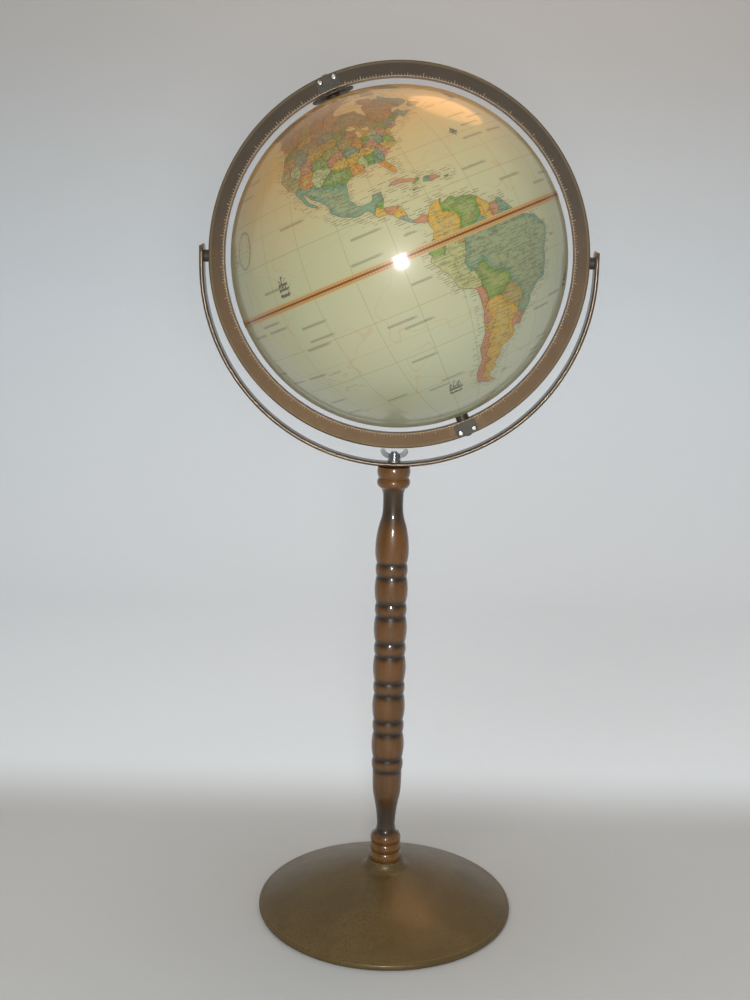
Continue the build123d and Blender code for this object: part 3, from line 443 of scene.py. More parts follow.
# %% Countries and their inks
INKS = {
    "orange": (0.50, 0.175, 0.012), "gold": (0.50, 0.275, 0.022), "tan": (0.30, 0.21, 0.06),
    "cream": (0.35, 0.37, 0.16), "green": (0.105, 0.22, 0.03), "teal": (0.105, 0.22, 0.15),
    "blue": (0.13, 0.22, 0.22), "pink": (0.42, 0.15, 0.09), "olive": (0.24, 0.25, 0.05),
}
COUNTRIES = [
    # Canada's provinces
    ("orange", (-125, 55), (-122, 52), (-128, 58), (-120, 57)),
    ("gold", (-114, 54), (-115, 57), (-112, 51)),
    ("orange", (-106, 52), (-106, 56)), ("orange", (-98, 52), (-97, 57)),
    ("tan", (-90, 52), (-84, 50), (-80, 45.5), (-94, 50)),
    ("orange", (-74, 50), (-72, 54), (-74, 59), (-67, 53), (-73, 47)),
    ("teal", (-61, 54), (-63, 57), (-56, 49)),
    ("teal", (-66, 46.3), (-63, 45)), ("tan", (-135, 63), (-137, 67)),
    ("orange", (-118, 63), (-108, 65), (-100, 64), (-122, 67), (-112, 71), (-95, 67)),
    ("gold", (-72, 67), (-80, 72), (-85, 79), (-92, 64), (-100, 76)),
    ("cream", (-42, 72), (-45, 64), (-35, 79), (-60, 79)),
    ("gold", (-153, 65), (-157, 61), (-148, 68), (-160, 67), (-160, 56), (-142, 62), (-133, 57)),
    # United States
    ("green", (-120.5, 47.5)), ("orange", (-120.5, 44)),
    ("tan", (-119.5, 37), (-121.5, 39.5), (-117, 34.5)), ("cream", (-117, 39.5)),
    ("teal", (-114, 44.5)), ("tan", (-110, 47)), ("gold", (-107.5, 43)), ("pink", (-111.7, 39.5)),
    ("orange", (-111.7, 34.5)),
    ("green", (-105.7, 39)), ("cream", (-106, 34.5)), ("teal", (-100.5, 47.5)),
    ("gold", (-100.3, 44.5)), ("olive", (-99.8, 41.5)),
    ("pink", (-98.4, 38.5)), ("gold", (-97.5, 35.5)), ("green", (-99, 31.5), (-97, 29), (-102, 31.5)),
    ("green", (-94.5, 46.3)),
    ("tan", (-93.5, 42)), ("teal", (-92.5, 38.4)), ("gold", (-92.4, 34.8)), ("orange", (-92, 31)),
    ("pink", (-90, 44.6)),
    ("orange", (-89.2, 40)), ("gold", (-85.5, 43.3), (-88, 46.4)), ("green", (-86.2, 40)),
    ("cream", (-82.8, 40.4)), ("pink", (-85, 37.6)),
    ("gold", (-86.3, 35.8)), ("cream", (-89.6, 32.7)), ("green", (-86.8, 32.8)),
    ("teal", (-83.4, 32.7)), ("orange", (-81.7, 28.3), (-82, 27)),
    ("pink", (-80.8, 33.9)), ("gold", (-79, 35.5)), ("green", (-78.5, 37.5)), ("teal", (-80.7, 38.7)),
    ("pink", (-77.8, 40.9)),
    ("green", (-75.2, 43)), ("gold", (-74.6, 40.1)), ("teal", (-72.5, 44)), ("pink", (-71.8, 42.2)),
    ("green", (-69.2, 45.3)),
    # Mexico, Central America and the Caribbean
    ("teal", (-102, 23.5), (-106, 27), (-111, 29), (-113, 27), (-99, 19), (-104, 20.5), (-97, 17),
     (-93, 17), (-89.5, 19.5), (-99, 26), (-115, 31), (-111, 25)),
    ("gold", (-90.4, 15.2)), ("pink", (-86.6, 14.7)), ("gold", (-85, 12.9)), ("blue", (-84, 9.8)),
    ("pink", (-80, 8.5)), ("green", (-88.6, 17.3)),
    ("pink", (-79, 21.8), (-83, 22.6)), ("teal", (-73, 18.8)), ("pink", (-70.3, 18.9)),
    ("green", (-77.3, 18.1)), ("teal", (-66.4, 18.2)),
    # South America
    ("gold", (-74, 4), (-76, 7), (-72, 2), (-74, 9.5), (-71, 5), (-76, 1.5)),
    ("green", (-66, 7.5), (-70, 9.5), (-64, 9), (-63, 5.5), (-66, 3)),
    ("gold", (-59, 5.5), (-59, 3)), ("pink", (-56, 4)), ("teal", (-53, 3.8)), ("green", (-78.5, -1.5)),
    ("cream", (-76, -7), (-74, -11), (-71, -14), (-79, -6), (-74, -4)),
    ("green", (-65, -16), (-67, -13), (-62, -18), (-66, -20)),
    ("teal", (-60, -5), (-67, -6), (-52, -5), (-45, -6), (-40, -8), (-45, -12), (-52, -12), (-58, -12),
     (-42, -17), (-48, -18), (-54, -18),
     (-50, -23), (-46, -22), (-52, -28), (-65, -1), (-69, -9), (-61, 1), (-54, 0), (-38, -6),
     (-62, -11)),
    ("tan", (-58.5, -22.5), (-56.5, -25.5)), ("pink", (-56, -32.8)),
    ("pink", (-71, -33), (-70.3, -27), (-69.7, -21), (-72.5, -38), (-73, -43), (-74, -48),
     (-72.5, -52.5)),
    ("gold", (-65, -28), (-62, -33), (-67, -35), (-61, -37), (-68, -40), (-69, -45), (-70, -49),
     (-59, -29), (-66, -24), (-68.5, -53), (-68.5, -31), (-70, -50.5)),
    # Europe
    ("orange", (-4, 40), (-2, 42)), ("teal", (-8, 40)), ("green", (2, 47), (0, 44.5)),
    ("pink", (-2, 53), (-4, 57)), ("green", (-8, 53)),
    ("gold", (10, 51), (12, 53)), ("teal", (12, 43), (9, 45), (16, 40)), ("cream", (20, 52)),
    ("pink", (15, 49.5), (15, 47.5)),
    ("gold", (25, 46)), ("green", (21, 44), (20, 42)), ("teal", (25, 42.7)), ("orange", (22, 39.5)),
    ("tan", (9, 61), (15, 67), (22, 69.5)),
    ("green", (15, 62), (18, 66), (14, 58)), ("cream", (26, 63), (26, 67)), ("pink", (9, 56)),
    ("orange", (-19, 65)), ("teal", (31, 49), (26, 50), (35, 48)),
    ("cream", (28, 53.5)), ("pink", (25, 56.5)),
    # Asia
    ("gold", (40, 56), (50, 60), (60, 60), (70, 62), (45, 48), (80, 58), (90, 62), (100, 60), (110, 64),
     (120, 60), (130, 64), (140, 62),
     (150, 65), (165, 66), (100, 70), (60, 66), (135, 50), (160, 56), (40, 64), (75, 68), (115, 54)),
    ("cream", (65, 48), (75, 47), (55, 48)), ("pink", (62, 41), (58, 39)),
    ("orange", (35, 39), (40, 39)), ("green", (44, 33)), ("gold", (38, 35)),
    ("tan", (45, 24), (42, 27), (50, 21)), ("green", (46, 16)), ("pink", (56, 21)),
    ("teal", (53, 33), (58, 30), (50, 35)), ("orange", (66, 34)),
    ("green", (69, 30), (66, 27)), ("pink", (78, 22), (76, 28), (78, 14), (84, 24), (74, 25), (92, 25)),
    ("gold", (84, 28.3)), ("teal", (90, 24)),
    ("green", (100, 35), (88, 38), (110, 32), (115, 38), (90, 32), (105, 25), (115, 26), (125, 46),
     (85, 44), (98, 30)),
    ("orange", (103, 47), (95, 47), (112, 46)), ("gold", (96, 21)), ("cream", (101, 16)),
    ("teal", (107, 15), (105, 21)), ("pink", (105, 12.7)),
    ("orange", (102, 4), (114, 3), (117, 5)), ("green", (102, 0), (113, -1), (110, -7.5), (121, -2),
     (136, -4)), ("pink", (127, 40)), ("gold", (127.5, 36.5)),
    ("teal", (138, 37), (143, 43), (131, 33)), ("gold", (121, 15), (125, 8)), ("pink", (144, -6)),
    ("orange", (81, 7.5)), ("orange", (121, 24)),
    # Africa
    ("green", (-6, 32)), ("gold", (2, 28), (5, 33)), ("pink", (9.5, 34.5)), ("cream", (17, 27)),
    ("orange", (29, 27)), ("green", (30, 14), (30, 19), (32, 10)),
    ("tan", (-11, 20)), ("teal", (-3, 17), (-8, 13)), ("gold", (9, 17)), ("pink", (18, 15)),
    ("orange", (40, 9), (43, 7)), ("teal", (46, 4), (48, 9)),
    ("gold", (-14, 14.5)), ("green", (-10, 10)), ("pink", (-5, 7.5)), ("cream", (-1, 8), (-1, 12)),
    ("teal", (8, 9)), ("orange", (12.5, 6)),
    ("green", (21, 7)), ("tan", (23, -3), (18, 1), (26, -8), (25, 2)), ("pink", (15, -1)),
    ("gold", (37, 0.5)), ("pink", (32, 1.5)), ("green", (35, -6)),
    ("orange", (18, -12)), ("gold", (28, -14)), ("teal", (37, -14), (34, -20)), ("cream", (30, -19)),
    ("pink", (23, -22)), ("green", (17, -22)),
    ("orange", (24, -30), (20, -32), (29, -26)), ("pink", (46, -19)),
    # Australia, its islands, and the far south
    ("orange", (121, -26), (125, -30)), ("gold", (133, -20)), ("green", (134, -29)),
    ("pink", (144, -22)), ("cream", (146, -32)), ("teal", (144, -37)),
    ("green", (146.5, -42)), ("gold", (175, -39)), ("pink", (170, -44)),
    ("cream", (0, -85), (90, -75), (-90, -80), (150, -75), (40, -75), (-120, -78)),
    ("gold", (-59.5, -51.8)), ("orange", (-155.5, 19.6)), ("cream", (18, 78.5)),
]
print("countries and states", len(COUNTRIES))

# %% [markdown]
# A real globe's map is printed on paper gores, narrow at the pole and wide at the equator, which
# are pasted side by side on the ball. Here each gore is a grid of two parameters, longitude and
# latitude. How far each of its points lies from the nearest coast and border is worked out once
# and kept on the mesh, and the finish turns those distances into crisp lines of ink.

# %% From degrees to the ball, and the engraver's shake
GORE_COUNT = 12
FACING_LONGITUDE = -90.5
COLUMNS, ROWS = 96, 112
MM = 1000.0
BATCH = 4000  # points measured at once, so that the arrays stay small
radius_mm = ball_radius * MM


def on_globe(longitude, latitude):
    """Unit vectors in the globe's own frame: x to the Gulf of Guinea, y to the east, z north."""
    lon, lat = np.radians(longitude), np.radians(latitude)
    return np.stack([np.cos(lat) * np.cos(lon), np.cos(lat) * np.sin(lon), np.sin(lat)], axis=-1)


def in_frame(unit):
    """Turns the globe's own vectors so that the facing longitude looks along the facing way."""
    turn = math.radians(FACING_LONGITUDE)
    prime = facing * math.cos(turn) - east * math.sin(turn)
    ninety = facing * math.sin(turn) + east * math.cos(turn)
    return unit[..., :1] * prime + unit[..., 1:2] * ninety + unit[..., 2:] * north


SHAKES = ((9.0, 1.1), (17.0, 0.8), (31.0, 0.55), (57.0, 0.30))


def shaken(unit, strength=1.0):
    """Each shake adds sine waves of one pitch, each turned by the waves of the other axes."""
    moved = unit * radius_mm
    for number, (pitch, reach) in enumerate(SHAKES):
        a, b, c = (unit * pitch + number * 1.7).T
        wave = np.stack([np.sin(a + 2.1 * np.sin(b + c)), np.sin(b + 2.1 * np.sin(c - a) + 1.3),
                         np.sin(c + 2.1 * np.sin(a + 0.7 * b) + 2.6)], axis=-1)
        moved = moved + wave * reach * strength
    return moved / np.linalg.norm(moved, axis=-1, keepdims=True)


def densified(outline, closed=True, longest=4.0):
    """Adds points to sides longer than this many degrees, so that they bend with the ball."""
    points = np.array(outline, float)
    following = np.roll(points, -1, axis=0) if closed else points[1:]
    starts = points if closed else points[:-1]
    pieces = []
    for start, end in zip(starts, following):
        count = max(1, int(np.ceil(np.abs(end - start).max() / longest)))
        share = np.arange(count)[:, None] / count
        pieces.append(start + (end - start) * share)
    if not closed:
        pieces.append(points[-1:])
    return np.concatenate(pieces)


def inside(outline, lon, lat):
    """Crossing count of a ray to the east, with the outline also tried a turn to the west."""
    x1, y1 = outline.T
    x2, y2 = np.roll(outline, -1, axis=0).T
    found = np.zeros(lon.shape, bool)
    for turn in (0.0, 360.0):
        x = lon + turn
        crossed = np.zeros(lon.shape, bool)
        for a, b, c, d in zip(x1, y1, x2, y2):
            if b == d:
                continue
            span = (b > lat) != (d > lat)
            crossed ^= span & (x < (c - a) * (lat - b) / (d - b) + a)
        found |= crossed
    return found


def nearest_side(unit, sides):
    """Distance in millimetres from each point to the nearest of the straight sides."""
    best = np.full(len(unit), 1e9)
    if len(sides) == 0:
        return best
    start, end = sides[:, 0], sides[:, 1]
    along = end - start
    length = np.maximum((along ** 2).sum(-1), 1e-12)
    for first in range(0, len(unit), BATCH):
        p = unit[first:first + BATCH, None, :]
        share = np.clip(((p - start) * along).sum(-1) / length, 0, 1)
        gap = p - (start + share[..., None] * along)
        best[first:first + BATCH] = np.sqrt((gap ** 2).sum(-1)).min(1) * radius_mm
    return best


def side_pairs(outline, closed=True):
    """The outline's sides as pairs of unit vectors."""
    dense = on_globe(*densified(outline, closed).T)
    if closed:
        return np.stack([dense, np.roll(dense, -1, axis=0)], axis=1)
    return np.stack([dense[:-1], dense[1:]], axis=1)


shores = [np.array(outline, float) for outline in list(COASTS.values()) + ISLANDS]
lakes = [np.array(outline, float) for outline in WATERS]
print("outlines", len(shores) + len(lakes))

# %% Ornaments: ships, a compass rose, a cartouche and a panel, as strokes in millimetres


def arc_points(x, y, wide, high, start=0.0, end=360.0, count=24):
    """Points of an ellipse's arc, angles in degrees from the right, anticlockwise."""
    angle = np.radians(np.linspace(start, end, count))
    return list(zip(x + wide * np.cos(angle), y + high * np.sin(angle)))


def ship_strokes():
    """A three-masted ship seen from the side: hull, deck, masts, bellied sails, flags and waves."""
    strokes = [[(-6, 1.4), (-5, -1.6), (4, -1.9), (6.4, 2.2)],
               [(-6, 1.4), (-3.5, 0.6), (3.5, 0.6), (6.4, 2.2)],
               [(-5.4, 0.2), (5.2, 0.2)], [(-5.2, -0.7), (4.8, -0.8)], [(6.2, 2.0), (9.4, 4.2)]]
    for x, top in ((-3.6, 9.5), (0.2, 13.0), (3.8, 10.5)):
        strokes.append([(x, 0.8), (x, top)])
        strokes.append([(x, top), (x + 1.6, top - 0.4), (x, top - 0.9)])
        for low, high, wide in ((1.8, 5.0, 1.7), (5.4, top - 1.4, 1.3)):
            middle = (low + high) / 2
            strokes.append([(x - wide, low), (x + 0.5 - wide, middle), (x - wide * 0.8, high),
                            (x + wide * 0.8, high), (x + 0.9 + wide, middle), (x + wide, low),
                            (x - wide, low)])
            strokes.append([(x - wide * 0.5, low + 0.8), (x + wide, low + 0.9)])
    for row in range(3):
        strokes.append([(-7 + 2.2 * n + row, -2.6 - 0.9 * row + 0.3 * (n % 2))
                        for n in range(7 - row)])
    return strokes


def rose_strokes():
    """A compass rose: two rings and eight long points."""
    strokes = [arc_points(0, 0, 2.6, 2.6), arc_points(0, 0, 4.2, 4.2)]
    for n in range(8):
        angle, reach = math.radians(45 * n), 7.5 if n % 2 == 0 else 5.0
        tip = (reach * math.cos(angle), reach * math.sin(angle))
        for side in (-1, 1):
            turn = angle + side * math.radians(20)
            strokes.append([tip, (1.6 * math.cos(turn), 1.6 * math.sin(turn)), (0, 0)])
    return strokes


def wreath_strokes():
    """An oval wreath: two ovals and leaves between them, with rules inside."""
    strokes = [arc_points(0, 0, 12, 16, count=40), arc_points(0, 0, 10.4, 14.4, count=40)]
    for n in range(30):
        angle = math.radians(12 * n)
        x, y = 11.2 * math.cos(angle), 15.2 * math.sin(angle)
        strokes.append([(x, y), (x + 2.2 * math.cos(angle + 0.9), y + 2.2 * math.sin(angle + 0.9))])
        strokes.append([(x, y), (x + 1.8 * math.cos(angle - 0.6), y + 1.8 * math.sin(angle - 0.6))])
    strokes += [[(-7.5, 6), (7.5, 6)], [(-8.6, 2.6), (8.6, 2.6)], [(-8.8, 1.6), (8.8, 1.6)],
                [(-8.6, -2), (8.6, -2)], [(-6.5, -6), (6.5, -6)], [(-4.5, -9), (4.5, -9)]]
    return strokes


def panel_strokes():
    """A block of ruled lines of uneven length under a heading, as a key to a map has."""
    strokes = [[(-6.5, 13.2), (-6.5, 11.4)], [(-4.6, 13.2), (-4.6, 11.4), (-3.4, 11.4)]]
    strokes += [[(-2 + 2.2 * n, 11.4), (-1.2 + 2.2 * n, 13.2), (-0.4 + 2.2 * n, 11.4)]
                for n in range(4)]
    for row in range(11):
        half = 8.0 + 3.2 * math.sin(2.3 * row + 0.6)
        y = 8.6 - 1.75 * row
        strokes.append([(-half + 0.5 * row, y), (half + 0.5 * row, y)])
    return strokes


def whale_strokes():
    """A spouting whale's back, tail and jet over two waves."""
    return [arc_points(0, 0, 5, 2.6, 10, 170),
            [(-4.9, 0.4), (-7.4, 2.8), (-8.8, 2.2)], [(-7.4, 2.8), (-7.0, 4.2)],
            [(1.5, 2.6), (1.2, 5.0), (0.2, 5.8)], [(1.2, 5.0), (2.4, 5.9)], [(-7, -0.6), (6.6, -0.6)],
            [(-5, -1.6), (5, -1.6)]]


# Each has its strokes, longitude, latitude and size.
ORNAMENTS = [
    (ship_strokes(), -130, 4.5, 1.0), (ship_strokes(), -88, -51, 1.0),
    (ship_strokes(), -30, 46, 0.75), (ship_strokes(), 72, -14, 1.0),
    (ship_strokes(), -20, -28, 1.0), (ship_strokes(), 170, 30, 0.9),
    (rose_strokes(), -53, 31, 0.75), (rose_strokes(), 85, -35, 1.3),
    (rose_strokes(), -12, -8, 0.9), (wreath_strokes(), -148, 22, 1.0),
    (wreath_strokes(), 100, -52, 0.9), (panel_strokes(), -129, -31, 1.15),
    (whale_strokes(), 160, -50, 1.2), (whale_strokes(), -35, 56, 0.9),
]


def ornament_sides(strokes, lon, lat, size):
    """Strokes in millimetres east and north of a place become sides on the unit ball."""
    sides = []
    for stroke in strokes:
        xy = np.array(stroke, float) * size
        north_shift = np.degrees(xy[:, 1] / radius_mm)
        east_shift = np.degrees(xy[:, 0] / radius_mm) / np.cos(np.radians(lat + north_shift))
        points = on_globe(lon + east_shift, lat + north_shift)
        sides.append(np.stack([points[:-1], points[1:]], axis=1))
    return np.concatenate(sides)


ink_sides = np.concatenate([ornament_sides(*ornament) for ornament in ORNAMENTS])
print("ornaments", len(ORNAMENTS), "strokes", len(ink_sides))

# %% Measuring a gore's points against the map
coast_sides = np.concatenate([side_pairs(outline) for outline in shores + lakes])
seed_units = np.concatenate([on_globe(*np.array(entry[1:], float).T) for entry in COUNTRIES])
seed_country = np.concatenate([np.full(len(entry) - 1, n) for n, entry in enumerate(COUNTRIES)])
country_ink = np.array([INKS[entry[0]] for entry in COUNTRIES])
FAR_MM = 9.0  # distances to coasts and borders are not told apart past this
INK_REACH_MM = 2.0


def near(sides, unit, reach_mm):
    """Only the sides that can matter to these points."""
    slack = 0.06  # more than half of the longest side, on the unit ball
    middle = unit.mean(0) / np.linalg.norm(unit.mean(0))
    spread = np.linalg.norm(unit - middle, axis=1).max() + reach_mm / radius_mm + slack
    return sides[np.linalg.norm(sides.mean(1) - middle, axis=1) < spread]


def measure(unit):
    """Signed distance to the coast, distance to a border, to an ornament's stroke, and the ink."""
    moved = shaken(unit)
    lat = np.degrees(np.arcsin(np.clip(moved[:, 2], -1, 1)))
    lon = np.degrees(np.arctan2(moved[:, 1], moved[:, 0]))
    land = np.zeros(len(unit), bool)
    for outline in shores:
        land |= inside(outline, lon, lat)
    for outline in lakes:
        land &= ~inside(outline, lon, lat)
    gap = nearest_side(moved, near(coast_sides, moved, FAR_MM))
    coast = np.clip(np.where(land, gap, -gap), -FAR_MM, FAR_MM)
    place = shaken(unit, 0.8)
    country = np.zeros(len(unit), int)
    border = np.zeros(len(unit))
    for first in range(0, len(unit), BATCH):
        part = slice(first, first + BATCH)
        gaps = np.arccos(np.clip(place[part] @ seed_units.T, -1, 1)) * radius_mm
        mine = seed_country[gaps.argmin(1)]
        others = np.where(seed_country[None, :] == mine[:, None], 1e9, gaps)
        country[part] = mine
        border[part] = (others.min(1) - gaps.min(1)) / 2
    ink_gap = nearest_side(unit, near(ink_sides, unit, INK_REACH_MM))
    ink = np.clip(ink_gap, 0, INK_REACH_MM)
    return coast, np.clip(border, 0, FAR_MM), ink, country_ink[country]


print("coast sides", len(coast_sides), "places in countries", len(seed_units))

# %% [markdown]
# A gore is a closed piece of board: the fine outer grid carries the print, a coarse inner grid
# backs it, and a rim joins them. A fan of triangles lets eight fine sides meet a coarse one.

# %% The closed piece of board
COARSE = 8  # the hidden inner face has this many times fewer columns and rows
WALL = 0.003  # thickness of the board that carries the paper
INNER_UV = 0.985  # the inner face and the rim keep to the strip of the UV square past this


def rim_faces(outer, inner):
    """Joins an edge of the fine grid to the coarse edge under it: each coarse side carries a fan
    from its first corner, one triangle across, and a fan from its second corner."""
    fan = outer[:-1].reshape(-1, COARSE), outer[1:].reshape(-1, COARSE)
    half = COARSE // 2
    first, second = inner[:-1, None], inner[1:, None]
    firsts, seconds = np.repeat(first, half, 1), np.repeat(second, half, 1)
    near_first = np.stack([fan[1][:, :half], fan[0][:, :half], firsts], axis=-1)
    near_second = np.stack([fan[1][:, half:], fan[0][:, half:], seconds], axis=-1)
    across = np.stack([fan[0][:, half], inner[:-1], inner[1:]], axis=-1)
    return np.concatenate([near_first.reshape(-1, 3), near_second.reshape(-1, 3), across])


def grid_quads(index):
    """Four corners of each cell, anticlockwise, from a grid of vertex numbers."""
    corners = [index[:-1, :-1], index[:-1, 1:], index[1:, 1:], index[1:, :-1]]
    return np.stack(corners, axis=-1).reshape(-1, 4)


def board_mesh(name, outer, inner, uv):
    """A closed piece of board: a fine outer grid, a coarse inner one and a rim between them."""
    rows, columns = outer.shape[:2]
    fine = np.arange(rows * columns).reshape(rows, columns)
    coarse = np.arange(inner.shape[0] * inner.shape[1]).reshape(inner.shape[:2]) + fine.size
    front, back = grid_quads(fine), grid_quads(coarse)[:, ::-1]
    edges = ((fine[0], coarse[0]), (fine[:, -1], coarse[:, -1]),
             (fine[-1, ::-1], coarse[-1, ::-1]), (fine[::-1, 0], coarse[::-1, 0]))
    rim = np.concatenate([rim_faces(*edge) for edge in edges])
    mesh = bpy.data.meshes.new(name)
    points = np.concatenate([outer.reshape(-1, 3), inner.reshape(-1, 3)])
    mesh.from_pydata(points, [], front.tolist() + back.tolist() + rim.tolist())
    corners = np.concatenate([front.ravel(), back.ravel(), rim.ravel()])
    by_point = np.concatenate([uv.reshape(-1, 2) * (INNER_UV, 1.0), np.zeros((coarse.size, 2))])
    flat = by_point[corners]
    hidden = np.arange(len(corners)) >= front.size
    strip_u = INNER_UV + 0.01 + 0.004 * (corners[hidden] % 2)
    flat[hidden] = np.stack([strip_u, (corners[hidden] % 97) / 97], axis=-1)
    layer = mesh.uv_layers.new(name="OFBake")
    layer.data.foreach_set("uv", flat.astype(np.float32).ravel())
    slots = np.arange(len(mesh.polygons)) >= len(front)
    mesh.polygons.foreach_set("material_index", slots.astype(np.int32))
    mesh.polygons.foreach_set("use_smooth", ~slots)
    # Straight out from the centre on the map side, so that light runs on over the joins.
    out = (points[corners] - ball_centre) / ball_radius
    out[hidden] = 0.0
    mesh.normals_split_custom_set(out.tolist())
    return mesh


def keep_number(mesh, name, values):
    mesh.attributes.new(name, "FLOAT", "POINT").data.foreach_set("value", values.astype(np.float32))


def keep_color(mesh, name, colors):
    four = np.concatenate([colors, np.ones((len(colors), 1))], axis=1)
    layer = mesh.attributes.new(name, "FLOAT_COLOR", "POINT")
    layer.data.foreach_set("color", four.astype(np.float32).ravel())


print("board", WALL, "thick, inner grid coarser by", COARSE)

# %% The gores
POLE_GAP_DEGREES = 2.4  # the gores stop short of the pole, where the eyelet's flange covers them
BANDS = {"low": (0.0, 45.0), "high": (45.0, 90.0 - POLE_GAP_DEGREES)}


def make_gore(number, hemisphere, band):
    """longitude = start + share * width; latitude = from one edge of the band to the other."""
    width = 360.0 / GORE_COUNT
    start = -180.0 + number * width
    lon = start + np.linspace(0, 1, COLUMNS + 1)[None, :] * width
    lat = hemisphere * np.linspace(*BANDS[band], ROWS + 1)[:, None]
    lon, lat = np.broadcast_arrays(lon, lat)
    if hemisphere < 0:
        lon, lat = lon[::-1], lat[::-1]
    unit = on_globe(lon, lat)
    outer = ball_centre + in_frame(unit) * ball_radius
    inner = ball_centre + in_frame(unit[::COARSE, ::COARSE]) * (ball_radius - WALL)
    u, v = np.meshgrid(np.linspace(0, 1, COLUMNS + 1), np.linspace(0, 1, ROWS + 1))
    name = f"{'north' if hemisphere > 0 else 'south'}_gore_{number + 1:02d}_{band}"
    mesh = board_mesh(name, outer, inner, np.stack([u, v], axis=-1))
    coast, border, ink, tint = measure(unit.reshape(-1, 3))
    spare = len(mesh.vertices) - len(coast)
    for key, values in (("coast", coast), ("border", border), ("ink", ink),
                        ("longitude", lon.ravel()), ("latitude", lat.ravel())):
        keep_number(mesh, key, np.append(values, np.zeros(spare)))
    keep_color(mesh, "tint", np.concatenate([tint, np.zeros((spare, 3))]))
    gore = bpy.data.objects.new(name, mesh)
    bpy.context.scene.collection.objects.link(gore)
    return gore


gores = [make_gore(number, hemisphere, band)
         for hemisphere in (1, -1) for band in BANDS for number in range(GORE_COUNT)]
for gore in gores:
    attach(gore, "globe")
    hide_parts("north_hemisphere" if gore.name.startswith("north") else "south_hemisphere")
print("gores", len(gores), "triangles", sum(2 * len(gore.data.polygons) for gore in gores))

# %% [markdown]
# The printed paper: parchment ground, coloured inks that are strongest along borders and coasts,
# dark engraved lines, rows of tiny place names that are only rules and dots, a graticule every
# fifteen degrees, and age spots. Varnish over all of it gives the gloss.

# %% The map's finish


def dashes(r, lon, lat, rows, columns, share, seed):
    """Rows of short rules along the parallels: 1 where a word-like row of small marks is printed.

    The row number moves each row's words along; a random number per word decides if it is there,
    and a fine noise breaks the rule into marks as small as letters."""
    row = r.math("FLOOR", r.times(lat, rows))
    in_row = r.math("FRACT", r.times(lat, rows))
    per_row = r.node("ShaderNodeTexWhiteNoise", {"W": r.plus(row, seed)}, noise_dimensions="1D")
    slide = per_row.outputs[0]
    along = r.plus(r.times(lon, columns), r.times(slide, 7.0))
    word = r.node("ShaderNodeCombineXYZ", {0: r.math("FLOOR", along), 1: row, 2: seed}).outputs[0]
    chance = r.node("ShaderNodeTexWhiteNoise", {"Vector": word}).outputs[0]
    there = r.math("LESS_THAN", chance, share)
    inside_word = r.times(r.step(r.math("FRACT", along), 0.06, 0.09),
                         r.step(r.math("FRACT", along), 0.93, 0.72))
    line = r.times(r.step(in_row, 0.30, 0.38), r.step(in_row, 0.72, 0.64))
    spread = {0: r.times(lon, 9.0), 1: r.times(lat, 5.0), 2: row}
    marks_place = r.node("ShaderNodeCombineXYZ", spread).outputs[0]
    marks = r.step(r.noise(marks_place, 1.0, 1.0), 0.40, 0.52)
    return r.times(r.times(there, inside_word), r.times(line, marks))


def line_every(r, degrees_in, step, half_width):
    """1 on thin lines at each multiple of step, worked out from the distance to the nearest."""
    to_line = r.absolute(r.math("PINGPONG", degrees_in, step / 2))
    return r.step(to_line, half_width * 1.6, half_width * 0.6)


print("gores to print", len(gores))

# %% [markdown]
# The ground comes first: parchment for the sea, and on land each country's tint, which is full
# along its edges and thin inside, as a hand-coloured wash dries.

# %% Sea and land
def sea_color(r, coast, lat, slow):
    """Parchment, clouded slowly and darker by the shore, with painted light: warmer orange to the north
    where a warm lamp falls from above, paler and greener to the south.
    """
    color = r.mix(r.step(slow, 0.35, 0.65), (0.42, 0.39, 0.225, 1), (0.395, 0.40, 0.24, 1))
    # Painted light: a warm orange over the northern half, the glow of the lamp above.
    painted_lamp_warmth = r.times(r.step(lat, 6.0, 56.0), 0.9)
    color = r.mix(painted_lamp_warmth, color, (0.46, 0.245, 0.055, 1))
    # Painted light: paler and greener towards the south, where the front light brightens it.
    painted_south_light = r.times(r.step(lat, 8.0, -45.0), 0.8)
    color = r.mix(painted_south_light, color, (0.43, 0.45, 0.31, 1))
    shallow = r.times(r.step(coast, -4.5, -0.2), 0.16)
    return r.mix(shallow, color, (0.30, 0.24, 0.12, 1))


def land_color(r, place, coast, border, lat):
    """The country's tint by distance to its edge, then hills, rivers, and painted warm lamp light that
    turns the north deep orange.
    """
    tint = r.node("ShaderNodeAttribute", attribute_name="tint").outputs["Color"]
    mottled = r.step(r.noise(place, 420.0, 3.0, 0.65), 0.30, 0.75)
    full = r.mix(mottled, tint, r.mix(0.30, tint, (0.42, 0.38, 0.16, 1)))
    to_edge = r.math("MINIMUM", coast, border)
    strength = r.plus(0.50, r.times(r.step(to_edge, 5.5, 0.3), 0.45))
    color = r.mix(strength, (0.36, 0.33, 0.15, 1), full)
    hills = r.step(r.noise(place, 150.0, 5.0, 0.7), 0.52, 0.66)
    color = r.mix(r.times(hills, 0.55), color, (0.16, 0.12, 0.05, 1))
    winding = r.absolute(r.minus(r.noise(place, 55.0, 4.0, 0.55), 0.5))
    rivers = r.step(winding, 0.010, 0.004)
    color = r.mix(r.times(rivers, 0.5), color, (0.10, 0.13, 0.12, 1))
    # Painted light: land to the north goes deep orange, the warm lamp light on the ball's top.
    painted_lamp_orange = r.times(r.step(lat, 30.0, 52.0), 0.62)
    return r.mix(painted_lamp_orange, color, (0.215, 0.075, 0.003, 1))


print("grounds ready: sea and land")

# %% [markdown]
# Over the ground come the engraver's lines: borders and shores, the net of parallels and
# meridians, the tropics and polar circles, and rows of marks in place of names.

# %% Lines and words
DARK_INK = (0.07, 0.06, 0.04, 1)
NET_DEGREES, NET_HALF_WIDTH = 15.0, 0.11
NET_END_LATITUDE = 80.0
CIRCLES = (23.44, -23.44, 66.56, -66.56)  # the tropics and the polar circles
